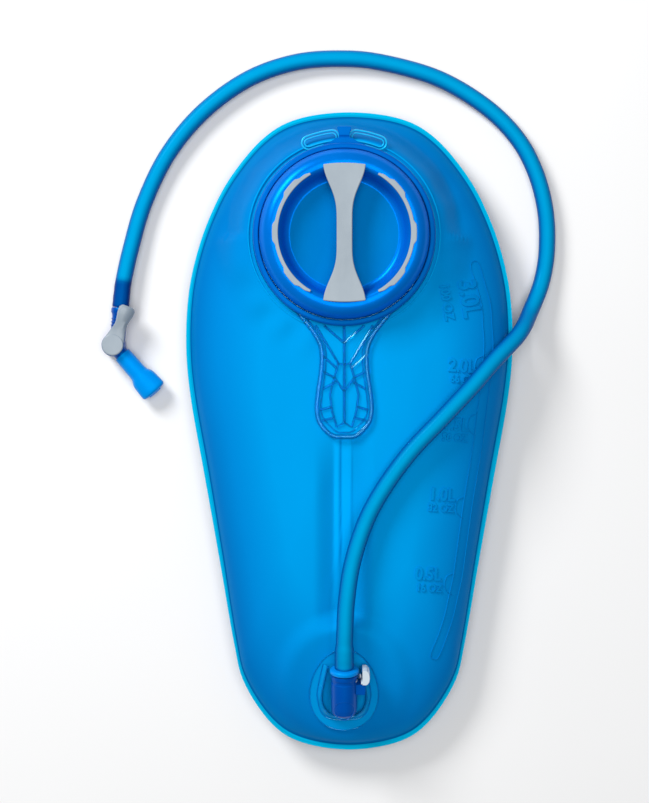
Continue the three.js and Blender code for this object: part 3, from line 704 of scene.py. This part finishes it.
def film_piece(name, sheet, node, front):
    (verts, faces), edge = sheet
    mesh = bpy.data.meshes.new(name)
    mesh.from_pydata([Vector(v) * MM for v in verts], [], faces if front else [f[::-1] for f in faces])
    mesh.materials.append(FINISH["film"])
    film = bpy.data.objects.new(name, mesh)
    bpy.context.scene.collection.objects.link(film)
    mesh.shade_smooth()
    store(film, "edge", edge)
    # The front film carries the baffle strip's painted highlight and shadow.
    store(film, "weld", [weld_strip_painted_light(v.co.x / MM, v.co.y / MM) if front else 0.0 for v in mesh.vertices])
    thicken(film, FILM_WALL, -1)
    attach(film, "bag")
    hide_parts(node)


def in_mouth(x, y):
    return math.hypot(x - MIDLINE_X, y - PORT_Y) < MOUTH_R


def bag():
    film_piece("front_film_sheet", film_sheet(front_z, front_detail, in_mouth), "front_film", True)
    film_piece("back_film_sheet", film_sheet(back_z, lambda x, y: 0), "back_film", False)


def on_film(x, y, lift=0.0):
    return (x, y, front_z(x, y) + front_detail(x, y) + lift)


# ---- Volume scale: raised numbers and a strip with a tick for each volume -------------------------

SCALE_LINE = [
    (82, 108), (89, 84), (91, 55), (88.5, 30), (83.5, -10), (77, -50), (71, -94), (64, -125), (55.5, -147),
]
SCALE_HALF = 3.1
NARROW = 0.88                          # the numbers are a narrow cut
SCALE_TICKS = [44, 6, -48, -98]
SCALE_WORDS = [
    ("3.0L", (77.6, 86.6), 16.5, -80), ("100 OZ", (62.8, 84), 8.4, -80), ("2.0L", (73, 42.2), 11.8, -4),
    ("66 OZ", (73.7, 33.6), 7, -4), ("1.5L", (69, 4), 11.5, -4), ("50 OZ", (68.4, -4.4), 7, -4),
    ("1.0L", (60, -41.4), 11.5, -4), ("32 OZ", (59.2, -50), 7, -4), ("0.5L", (51, -93), 11.5, -4),
    ("16 OZ", (51.6, -102), 7, -4),
]


def scale_x(y):
    for (x0, y0), (x1, y1) in zip(SCALE_LINE, SCALE_LINE[1:]):
        if y1 <= y <= y0:
            return x0 + (x1 - x0) * (y0 - y) / (y0 - y1)
    return SCALE_LINE[-1][0]


def bead(points, radius=0.45, closed=False):
    path = spline([(x, y, 0) for x, y in points], 6, closed)
    return tube([on_film(p.x, p.y, 0.05) for p in path], radius, 8, closed=closed)


def on_film_piece(name, part):
    """A mark raised from the film, darker than the film round it: painted shade of the embossing, a step
    further along the film's painted rim shade.
    """
    mark = piece(name, part, "film", "bag", sharp=50)
    # Painted shade: each mark reads as a little nearer the rim, so a little darker.
    deeper, most = 0.05, EDGE_AT_WELD - 0.01
    shares = [share(v.co.x / MM, v.co.y / MM) for v in mark.data.vertices]
    store(mark, "edge", [min(most, EDGE_AT_WELD * s + deeper) for s in shares])


def volume_scale():
    heights = [SCALE_LINE[0][1] - 12.7 * i for i in range(21)]
    middle = [(scale_x(y), y) for y in heights]
    left = [(x - SCALE_HALF, y) for x, y in middle]
    right = [(x + SCALE_HALF, y) for x, y in middle]
    cap_top = [(middle[0][0], middle[0][1] + SCALE_HALF)]
    foot = [(middle[-1][0], middle[-1][1] - SCALE_HALF)]
    parts = [bead(left + foot + right[::-1] + cap_top, closed=True)]
    for y in SCALE_TICKS:
        x = scale_x(y)
        hook = [(-0.2, 5), (-3.6, 3.4), (-5, 0), (-5, -4), (-3, -7), (-0.2, -9)]
        parts.append(bead([(x - SCALE_HALF + dx, y + dy) for dx, dy in hook], 0.4))
    on_film_piece("volume_scale_strip", joined(*parts))
    for i, (words, place, size, turn) in enumerate(SCALE_WORDS):
        raised_words(f"volume_mark_{i}", words, place, size, turn)


def raised_words(name, words, place, size, turn):
    """Generic volume numbers, raised from the film."""
    data = bpy.data.curves.new(name, "FONT")
    data.body = words
    data.align_x = "CENTER"
    data.align_y = "CENTER"
    data.size = size
    data.extrude = 0.7
    data.offset = 0.02 * size
    data.bevel_depth = 0.2
    data.bevel_resolution = 1
    source = bpy.data.objects.new(name + "_source", data)
    bpy.context.scene.collection.objects.link(source)
    shape = bpy.data.meshes.new_from_object(source)
    bpy.data.objects.remove(source)
    c, s = math.cos(math.radians(turn)), math.sin(math.radians(turn))
    verts = []
    for v in shape.vertices:
        x = place[0] + NARROW * v.co.x * c - v.co.y * s
        y = place[1] + NARROW * v.co.x * s + v.co.y * c
        verts.append(on_film(x, y, v.co.z))
    faces = [tuple(p.vertices) for p in shape.polygons]
    on_film_piece(name, (verts, faces))
    bpy.data.meshes.remove(shape)


# ---- Fill port -----------------------------------------------------------------------------------

def arc(radius, start, end, steps):
    return [
        (radius * math.cos(math.radians(start + (end - start) * i / steps)),
         radius * math.sin(math.radians(start + (end - start) * i / steps)))
        for i in range(steps + 1)
    ]


HANDLE_SIDE = [
    (34, -46), (24, -58), (17.5, -68), (15.2, -76), (15.6, -88),
    (17.6, -102), (18.4, -112), (16.6, -122), (9, -130),
]
HANDLE_FOOT = -131
HANDLE_BARS = [
    [(13, -58.5), (0, -69.9)], [(18.5, -58.5), (3.8, -83), (0, -83.7)],
    [(3.8, -83), (6.4, -92), (0, -101.2)], [(13.8, -78), (5, -86)], [(13.3, -88.5), (6.4, -92)],
    [(13.9, -99.5), (5.6, -95)], [(6.4, -92), (9.2, -103), (7.8, -114), (4.9, -124), (0, -121)],
    [(15.6, -113), (8.2, -111)], [(14.5, -120), (6.6, -118)],
]


def handle_loop(inset, per_span=6):
    right = [(x - inset, y + (inset if y < -115 else 0), 0) for x, y in HANDLE_SIDE]
    left = [(-x, y, 0) for x, y, _ in reversed(right)]
    loop = spline([*right, (0, HANDLE_FOOT + inset, 0), *left], per_span)
    return [(p.x, p.y) for p in loop if math.hypot(p.x, p.y) > 57.2]


def clear_bar(points, radius=0.75, height=2.6):
    return tube([(x, y, height) for x, y in points], radius, 8)


def handle():
    outer = handle_loop(0.8)
    rim = tube([(x, y, 2.3) for x, y in outer], 1.5, 12)
    inner_rim = tube([(x, y, 1.9) for x, y in handle_loop(3.4)], 0.45, 8)
    bars = [clear_bar([(0, -58.5), (0, -121)], 0.95)]
    for side in (-1, 1):
        for points in HANDLE_BARS:
            bars.append(clear_bar([(side * x, y) for x, y in points]))
    piece("handle_truss", joined(rim, inner_rim, *bars), "clear_port", "bag", at_port,
          replaces=("port_handle",))
    piece("handle_web", prism(handle_loop(1.2), 0.4, 1.5), "clear_port", "bag", at_port, finish="port_film")


def kidney(mirror, inset, steps=14):
    """A hang slot's outline: a band bent round the port, with round ends."""
    middle, slot_half = 63.8, 3.2
    half = slot_half - inset
    tip = math.degrees(slot_half / middle)
    low, high = 66 + tip, 86 - tip

    def end_cap(angle, turn):
        x, y = middle * math.cos(math.radians(angle)), middle * math.sin(math.radians(angle))
        return [(x + px, y + py) for px, py in arc(half, turn, turn + 180, steps)]

    outer = arc(middle + half, low, high, steps)
    inner = arc(middle - half, high, low, steps)
    outline = outer + end_cap(high, high)[1:-1] + inner + end_cap(low, low + 180)[1:-1]
    return [(mirror * x, y) for x, y in outline]


def ring_of(points, z, radius):
    return tube([(x, y, z) for x, y in points], radius, 8, closed=True)


def hang_tab():
    """The tab over the port: two slots, each with a raised lip and a finer one inside it."""
    parts = []
    for mirror in (-1, 1):
        parts.append(ring_of(kidney(mirror, -1.1), 1.6, 0.55))
        parts.append(ring_of(kidney(mirror, 0.7), 1.1, 0.4))
    # The lips take the lighter copy of the clear blue: painted glints.
    piece("hang_tab_frame", joined(*parts), "clear_port", "bag", at_port,
          replaces=("hang_tab",), finish="tab_lip_painted_glint")


def port_ring():
    profile = rounded([
        (43.5, -2.5), (45.4, -2.5), (45.4, 0.3), (58, 0.3), (58, 1.8), (56.6, 2.2),
        (47, 2.2), (47, 14), (43.5, 14),
    ], 0.5, 3)
    thread = []
    turns, steps = 1.5, 150
    for i in range(steps + 1):
        angle = 2 * math.pi * turns * i / steps
        thread.append((47.1 * math.cos(angle), 47.1 * math.sin(angle), 4.5 + 6.5 * i / steps))
    body = joined(turned(profile, 128), tube(thread, 0.95, 8))
    piece("port_ring", body, "clear_port", "bag", at_port, replaces=("fill_port",))


def weld_ring():
    """The pressed band where the port's flange is welded to the film."""
    parts = []
    for r in (59.2, 61.6):
        band = rounded([(r, 0.15), (r + 1.1, 0.15), (r + 1.1, 0.75), (r, 0.75)], 0.25, 2)
        parts.append(turned(band, 128))
    piece("port_weld_rings", joined(*parts), "clear_port", "bag", at_port, finish="port_film")


# ---- Tether --------------------------------------------------------------------------------------

def tether():
    loop = rounded([(55.3, 3), (58.6, 3), (59, 3.6), (59, 7), (58, 8), (55.3, 8)], 0.7, 4)
    lip = [(-17, 56), (17, 56), (12.4, 58.4), (9, 59.8), (6.8, 61), (5.4, 62.3)]
    lip += [(-x, y) for x, y in lip[:1:-1]]
    ring = joined(turned(loop, 128), prism(lip, 3.2, 5.2))
    # The tether's ring, strap and anchor take the darker copy of the cap's blue: painted shade.
    piece("tether_loop_ring", ring, "cap_blue", "tether_loop", at_port,
          replaces=("tether_ring",), finish="ring_painted_shade_blue")
    strap = tether_strap_mesh()
    band = piece("tether_strap_band", strap, "cap_blue", None, at_port, replaces=("tether_strap",), sharp=60,
                 finish="ring_painted_shade_blue")
    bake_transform(band)
    near, far = HINGE_R + 1.6, HINGE_R + 6.8
    anchor = rounded([(-3.5, near), (3.5, near), (4.8, far), (-4.8, far)], 1.0, 4)
    piece("tether_anchor_block", prism(anchor, 2.4, 4.6), "cap_blue", "bag", at_port,
          replaces=("tether_anchor",), bevel=0.6, finish="ring_painted_shade_blue")


def tether_strap_mesh():
    """A band from the loop to the anchor, thin across its living hinge."""
    rows = 25
    verts, faces = [], []
    for i in range(rows):
        y = 58.9 + (HINGE_R + 2 - 58.9) * i / (rows - 1)
        thin = math.exp(-((y - HINGE_R) / 0.7) ** 2)
        half = 3.5 + 1.6 * smooth(63.4, 60, y)
        low, high = 3.1 + 0.35 * thin, 5.1 - 0.9 * thin
        verts += [(-half, y, low), (half, y, low), (half, y, high), (-half, y, high)]
    for i in range(rows - 1):
        for k in range(4):
            a, b = 4 * i + k, 4 * i + (k + 1) % 4
            faces.append((a, b, b + 4, a + 4))
    faces += [(3, 2, 1, 0), tuple(4 * (rows - 1) + k for k in range(4))]
    return verts, faces


# ---- Lid -----------------------------------------------------------------------------------------

LEDGE_Z = 19.4
BAR_HALF = 43.3
BAR_WIDE = 13.6
BAR_WAIST = 5
FLOOR_R = 35
BRIDGE_HALF = 38.8
LID_SHARP = 44                         # edges on the lid sharper than this, in degrees, stay crisp


def bar_half_width(y):
    t = abs(y) / BAR_HALF
    return BAR_WAIST + (BAR_WIDE - BAR_WAIST) * (0.72 * smooth(0.2, 0.95, t) ** 1.7 + 0.28 * t ** 3)


def bar_outline(steps=18):
    """The waisted outline of the bar across the lid's recess."""
    rows = [-BAR_HALF + BAR_HALF * i / steps for i in range(2 * steps + 1)]
    right = [(bar_half_width(y), y) for y in rows]
    across = [1 - k / 4 for k in range(1, 8)]
    top = [(BAR_WIDE * c, BAR_HALF + 1 - c ** 2) for c in across]
    left = [(-x, y) for x, y in reversed(right)]
    foot = [(-x, -y) for x, y in top]
    return right + top + left + foot


def lid_profile():
    outer = [
        (54.8, 3.2), (54.8, 8.5), (54.4, 12), (53.2, 15.2), (51.2, 17.8), (48.6, 19.4), (46, 20),
        (43.6, 19.7), (42, 18.6), (41, 16.4), (39.8, 12.4), (38.8, 9), (37.4, 6.8), (35.4, 6.0),
    ]
    inner = [
        (37.6, 4.5), (39, 5.8), (40.4, 12), (41.8, 15.8), (48.8, 15.8), (48.8, 3.2),
    ]
    path = spline([(r, 0, z) for r, z in outer[:-1]], 3)
    return [(p.x, p.z) for p in path] + [outer[-1], (FLOOR_R, 6.0), (FLOOR_R, 4.5)] + inner


def sweep_rows(rows):
    """A closed solid through rows of points, each row the same loop further along."""
    count = len(rows[0])
    verts = [point for row in rows for point in row]
    faces = []
    for i in range(len(rows) - 1):
        for k in range(count):
            a, b = count * i + k, count * i + (k + 1) % count
            faces.append((a, b, b + count, a + count))
    last = count * (len(rows) - 1)
    faces += [tuple(range(count))[::-1], tuple(range(last, last + count))]
    return verts, faces


def beam_row(y, half, low, high):
    return [(-half, y, low), (half, y, low), (half, y, high), (-half, y, high)]


def recess_wall(r):
    """The height of the recess's wall at a distance from the lid's axis."""
    steps = [(0, 5.6), (37.4, 5.6), (39.4, 12.1), (41, 16.1), (41.8, LEDGE_Z - 0.2)]
    for (r0, z0), (r1, z1) in zip(steps, steps[1:]):
        if r <= r1:
            return z0 + (z1 - z0) * (r - r0) / (r1 - r0)
    return steps[-1][1]


def lid():
    shell = piece("lid_shell", turned(lid_profile(), 128), "cap_blue", "lid", at_port, replaces=("cap",),
                  sharp=LID_SHARP)
    weld_seams(shell)
    disc = turned([(0, 4.6), (FLOOR_R + 0.2, 4.6), (FLOOR_R + 0.2, 5.9), (0, 5.9)], 96)
    # The recess floor takes the darker copy of the cap's blue: painted shade.
    piece("lid_floor", disc, "cap_blue", "lid", at_port, finish="cap_floor_painted_shade")
    rows = []
    for i in range(41):
        y = -BRIDGE_HALF + 2 * BRIDGE_HALF * i / 40
        half = bar_half_width(y) - 0.8
        rows.append(beam_row(y, half, recess_wall(math.hypot(half, y)), LEDGE_Z - 0.1))
    piece("lid_bridge", sweep_rows(rows), "cap_blue", "lid", at_port)


def weld_seams(target):
    turn_outwards(target.data, merge=1e-6)
    target.data.shade_smooth()
    target.data.set_sharp_from_angle(angle=math.radians(LID_SHARP))


def grip_lobes(angle):
    wave = math.cos(math.radians(9 * angle))
    return 1.35 * smooth(0.05, 0.5, wave)


def grip_arc(middle):
    steps, half = 72, 60
    inner = [(42.4, -half + 2 * half * i / steps) for i in range(steps + 1)]
    outer = [(44.8 + grip_lobes(a) - 0.9 * smooth(55, 60, abs(a)), a) for _, a in reversed(inner)]
    points = []
    for r, a in inner + outer:
        angle = math.radians(middle + a)
        points.append((r * math.cos(angle), r * math.sin(angle)))
    return prism(points, LEDGE_Z + 0.1, LEDGE_Z + 1.6)


def grips():
    piece("grip_bar_pad", prism(bar_outline(), LEDGE_Z + 0.1, LEDGE_Z + 2.5), "grip", "lid", at_port,
          replaces=("grip_bar",), bevel=0.7)
    for name, middle in (("right", 0), ("left", 180)):
        piece(f"grip_arc_{name}_pad", grip_arc(middle), "grip", "lid", at_port,
              replaces=(f"grip_arc_{name}",), bevel=0.45)


# ---- Outlet port and coupling ----------------------------------------------------------------------

def egg(grow, steps=96):
    points = []
    for i in range(steps):
        angle = 2 * math.pi * i / steps
        x = (PAD_HALF[0] + grow) * math.cos(angle) * (1 - 0.12 * math.sin(angle))
        points.append((x, PAD_Y + (PAD_HALF[1] + grow) * math.sin(angle)))
    return points


CRADLE_SIDE = [(10.5, 13), (12.6, 4), (14.4, -6), (14.2, -12), (11.6, -18), (6, -22)]


def cradle_loop(grow):
    right = [(x + grow, y - (grow if y < -15 else 0), 0) for x, y in CRADLE_SIDE]
    left = [(-x, y, 0) for x, y, _ in reversed(right)]
    return [(p.x, p.y) for p in spline([*right, (0, -23 - grow, 0), *left], 6)]


def sloped_wall(low_loop, low, high_loop, high):
    """A band from a loop at one height to the same loop, smaller, at another."""
    count = len(low_loop)
    verts = [(x, y, low) for x, y in low_loop] + [(x, y, high) for x, y in high_loop]
    return verts, [(i, i + 1, count + i + 1, count + i) for i in range(count - 1)]


def outlet_port():
    piece("outlet_flange", prism(egg(0), 0.3, 1.5), "clear_port", "bag", at_outlet, finish="port_film",
          replaces=("outlet_port",))
    edge = ring_of(egg(-0.4), 1.5, 0.35)
    outer, inner = cradle_loop(3), cradle_loop(0)
    low_lip = tube([(x, y, 1.6) for x, y in outer], 0.4, 8)
    high_lip = tube([(x, y, 5.6) for x, y in inner], 0.7, 8)
    piece("outlet_lips", joined(edge, low_lip, high_lip), "clear_port", "bag", at_outlet)
    piece("outlet_cradle", sloped_wall(outer, 1.2, inner, 5.6), "clear_port", "bag", at_outlet,
          finish="port_film")


def coupling():
    body = rounded([
        (0, -18), (6.4, -18), (8, -16.2), (8.5, -13), (8.5, 4.5), (8.1, 4.6), (8.1, 7.0), (8.5, 7.1),
        (8.5, 10), (6.05, 10), (6.05, -2.5), (3.2, -2.5), (3.2, -4), (4.5, -4), (4.5, -16.2), (0, -16.2),
    ], 0.35, 3, closed=False)
    housing = prism([(7.5, -2.5), (13.6, -2.5), (13.6, 4.2), (7.5, 4.2)], AXIS_H - 4.6, AXIS_H + 4.6)
    elbow = []
    for x, y in arc(6.2, 0, 360, 64)[:-1]:
        elbow.append((x, y - 12, AXIS_H + math.sqrt(8.45 ** 2 - x ** 2)))
    trim = joined(housing, tube(elbow, 0.3, 8, closed=True))
    piece("socket_trim", trim, "coupling", "bag", at_outlet, bevel=0.3)
    piece("socket_body", turned(body, 72), "coupling", "bag", on_axis, replaces=("quick_link_socket",))
    collar = rounded([
        (2.4, 10.5), (8.5, 10.5), (9.4, 11.2), (9.4, 12.8), (8.7, 13.7), (6.6, 14.1), (2.4, 14.1),
    ], 0.4, 3)
    nose = rounded([
        (1.8, 0), (5, 0), (5.6, 0.7), (5.6, 1.4), (4.4, 1.4), (4.4, 2.8), (5.6, 2.8),
        (5.6, 10.6), (1.8, 10.6),
    ], 0.2, 2)
    barb = [(1.8, 13.8), (2.5, 13.8)]
    for start in (16, 19, 22):
        barb += [(2.5, start), (3.05, start + 0.4), (2.6, start + 2.4)]
    barb += [(2.4, 25), (1.8, 25)]
    piece("plug_body", joined(turned(nose, 64), turned(barb, 48)), "coupling", "drink_tube", on_axis,
          replaces=("quick_link_plug",))
    piece("plug_collar", turned(collar, 72), "mouth", "drink_tube", on_axis)


def button():
    pad = [(11.7, 4.6), (14.4, 4.7), (15.9, 6.6), (16.3, 9.4), (15.9, 12), (14.4, 14.1), (11.7, 14.2)]
    outline = [(p.x, p.y) for p in spline([(x, y, 0) for x, y in pad], 5)]
    body = prism(outline, AXIS_H - 5.6, AXIS_H + 5.6)
    ridges = []
    for i in range(4):
        y = 6.2 + 2.1 * i
        x = 16.2 - 0.03 * (y - 9.4) ** 2
        ridges.append(tube([(x, y, AXIS_H - 4.4), (x, y, AXIS_H + 4.4)], 0.3, 8))
    plate = prism([(10.8, 5), (12, 5), (12, 6.6), (10.8, 6.6)], AXIS_H - 5, AXIS_H + 5)
    piece("release_pad", joined(body, plate, *ridges), "pale_plastic", "button", at_outlet, bevel=0.6)
    ring_points = arc(6.35, 0, 360, 48)[:-1]
    # Longer towards the pad, so that it clears the plug when it is pressed in.
    ring_path = [(x + 0.3 * max(0, x), 5.8, AXIS_H + z) for x, z in ring_points]
    piece("latch_ring", tube(ring_path, 0.35, 8, closed=True), "pale_plastic", "button", at_outlet,
          replaces=("release_button",))


# ---- Hose ------------------------------------------------------------------------------------------

def hose():
    path = spline(HOSE_ROUTE, 12)
    total = sum((b - a).length for a, b in zip(path, path[1:]))
    barbs = [2.2, 5.2, 8.2]

    def radius(t):
        place = t * total
        swell = sum(bell(place - b, 0.9) for b in barbs)
        swell += sum(bell(total - place - b, 0.9) for b in barbs)
        return HOSE_R + 0.2 * min(1, swell) + 0.6 * smooth(15.5, 14, place)

    even = even_path(path, 420)
    tube_piece = piece("drinking_hose", tube(even, radius, 32, HOSE_BORE_R), "hose", "drink_tube",
                       replaces=("hose",), sharp=70)
    valve_end = Vector(HOSE_ROUTE[-1])
    verts = tube_piece.data.vertices
    store(tube_piece, "filled", [smooth(21, 17, (v.co / MM - valve_end).length) for v in verts])
    # How far the wall faces up or down, which the hose's painted shade reads.
    store(tube_piece, "flank", [abs(v.normal.z) for v in verts])
    return tube_piece, [tuple(Vector(p) * MM) for p in HOSE_ROUTE], total * MM


def even_path(path, count):
    lengths = [0.0]
    for a, b in zip(path, path[1:]):
        lengths.append(lengths[-1] + (b - a).length)
    result, k = [], 0
    for i in range(count + 1):
        want = lengths[-1] * i / count
        while k < len(lengths) - 2 and lengths[k + 1] < want:
            k += 1
        t = (want - lengths[k]) / max(1e-9, lengths[k + 1] - lengths[k])
        result.append(path[k].lerp(path[k + 1], min(1, t)))
    return result


# ---- Bite valve --------------------------------------------------------------------------------------

def valve_body():
    barb = [(0, -10), (2.4, -10)]
    for start in (-7.8, -5.2, -2.6):
        barb += [(3.0, start), (2.5, start + 0.4)]
    sleeve = barb + [(2.5, 0), (5.6, 0), (6, 0.8), (6, 3.0), (5.3, 4.2), (5, 6), (5, 22), (0, 22)]
    inlet = moved(turned(sleeve, 64), along_inlet)
    drum = [(0, -7.4), (7.6, -7.4), (7.6, 7.4), (5.9, 7.4), (5.9, 5.8), (0, 5.8)]
    barrel = moved(turned(rounded(drum, 0.7, 4, closed=False), 72), at_barrel)
    elbow = moved(turned([(0, 0), (5, 0), (5, 9.6), (3.6, 9.6), (3.6, 28), (0, 28)], 64),
                  along_mouth)
    ribs = []
    for i in range(3):
        y = 7.5 + 2.2 * i
        ribs.append(moved(ring_of(arc(5.05, 0, 360, 48)[:-1], y, 0.45), along_inlet))
    piece("valve_housing", joined(inlet, barrel, elbow, *ribs), "coupling", "drink_tube",
          replaces=("valve_body",))


def lever_place(p):
    c, s = math.cos(LEVER_ANGLE), math.sin(LEVER_ANGLE)
    return at_barrel((p[0] * c - p[1] * s, p[0] * s + p[1] * c, p[2]))


def lever():
    low, top, reach = 7.7, 9.8, 26
    disc = turned(rounded([(0, low), (7.2, low), (7.2, top + 0.5), (0, top + 0.5)], 0.9, 4, False), 72)
    rows = []
    for i in range(25):
        t = i / 24
        x = 2 + (reach - 0.6) * t
        half = 6.4 - 2.4 * smooth(0, 0.5, t) + 1.3 * smooth(0.5, 0.85, t) - 2.4 * smooth(0.92, 1.04, t)
        rise = 3 * smooth(0.2, 0.9, t) - 1.2 * smooth(0.93, 1.05, t)
        low_z, brow = low - 1.4 * smooth(0.75, 0.95, t), top + 0.3 + rise
        rows.append([
            (x, half, low_z), (x, -half, low_z), (x, -half, top - 0.6),
            (x, -0.62 * half, brow - 1.4 * rise / 3), (x, 0.2 * half, brow), (x, 0.8 * half, brow - 0.2),
            (x, half, top + 0.2 + 0.3 * rise),
        ])
    arm = sweep_rows(rows)
    piece("shutoff_lever", joined(disc, arm), "grip", "shutoff", lever_place,
          replaces=("valve_lever",), bevel=1.1, finish="lever_grey", sharp=60)


def mouthpiece():
    """The soft bite blade: round at the spigot, flared and flat at the lips, with a slit."""
    stations = [
        (8.6, 5.8, 5.6), (14, 6, 5.6), (24.5, 6.2, 5.6), (27.4, 7.2, 5.7), (30, 8.3, 5.6),
        (36, 8.8, 5.4), (39.2, 8.9, 5.1), (40.3, 8.6, 4.4), (40.9, 7.9, 3), (41.1, 6.4, 1),
    ]
    smooth_stations = spline([Vector(s) for s in stations], 4)
    sides, power = 48, 2.15
    verts, faces = [], []
    for station in smooth_stations:
        z, wide, deep = station
        for k in range(sides):
            angle = 2 * math.pi * k / sides
            c, s = math.cos(angle), math.sin(angle)
            x = deep * math.copysign(abs(c) ** (2 / power), c)
            y = wide * math.copysign(abs(s) ** (2 / power), s)
            bulge = 0.9 * (1 - (y / wide) ** 2) if z > 39 else 0
            verts.append((x, y, z + bulge * smooth(39, 41, z)))
    count = len(smooth_stations)
    for i in range(count - 1):
        for k in range(sides):
            j = (k + 1) % sides
            faces.append((i * sides + k, i * sides + j, (i + 1) * sides + j, (i + 1) * sides + k))
    faces.append(tuple(range(sides))[::-1])
    faces.append(tuple((count - 1) * sides + k for k in range(sides)))
    lip = tube([(0, -4.6, 41.95), (0, 0, 42.1), (0, 4.6, 41.95)], 0.3, 8)
    piece("bite_valve", joined((verts, faces), lip), "mouth", "drink_tube", along_mouth,
          replaces=("mouthpiece",), sharp=60)


# ---- CAD nodes that show as they are -------------------------------------------------------------------

def keep_cad():
    kept = {
        "centre_baffle": "film", "cap_gasket": "seal", "check_poppet": "pale_plastic", "poppet_seal": "seal",
        "poppet_spring": "spring", "button_spring": "spring", "plug_o_ring": "seal",
        "valve_rotor": "pale_plastic", "rotor_seal_lower": "seal", "rotor_seal_upper": "seal",
    }
    for name, slot in kept.items():
        node = bpy.data.objects[name]
        for place in node.material_slots:
            place.material = FINISH[slot]
        if not node.material_slots:
            node.data.materials.append(FINISH[slot])


camera()
hose_piece, hose_path, hose_length = hose()
floor(floor_finish())
lights()
bag()
volume_scale()
port_ring()
weld_ring()
handle()
hang_tab()
tether()
lid()
grips()
outlet_port()
coupling()
button()
valve_body()
lever()
mouthpiece()
keep_cad()
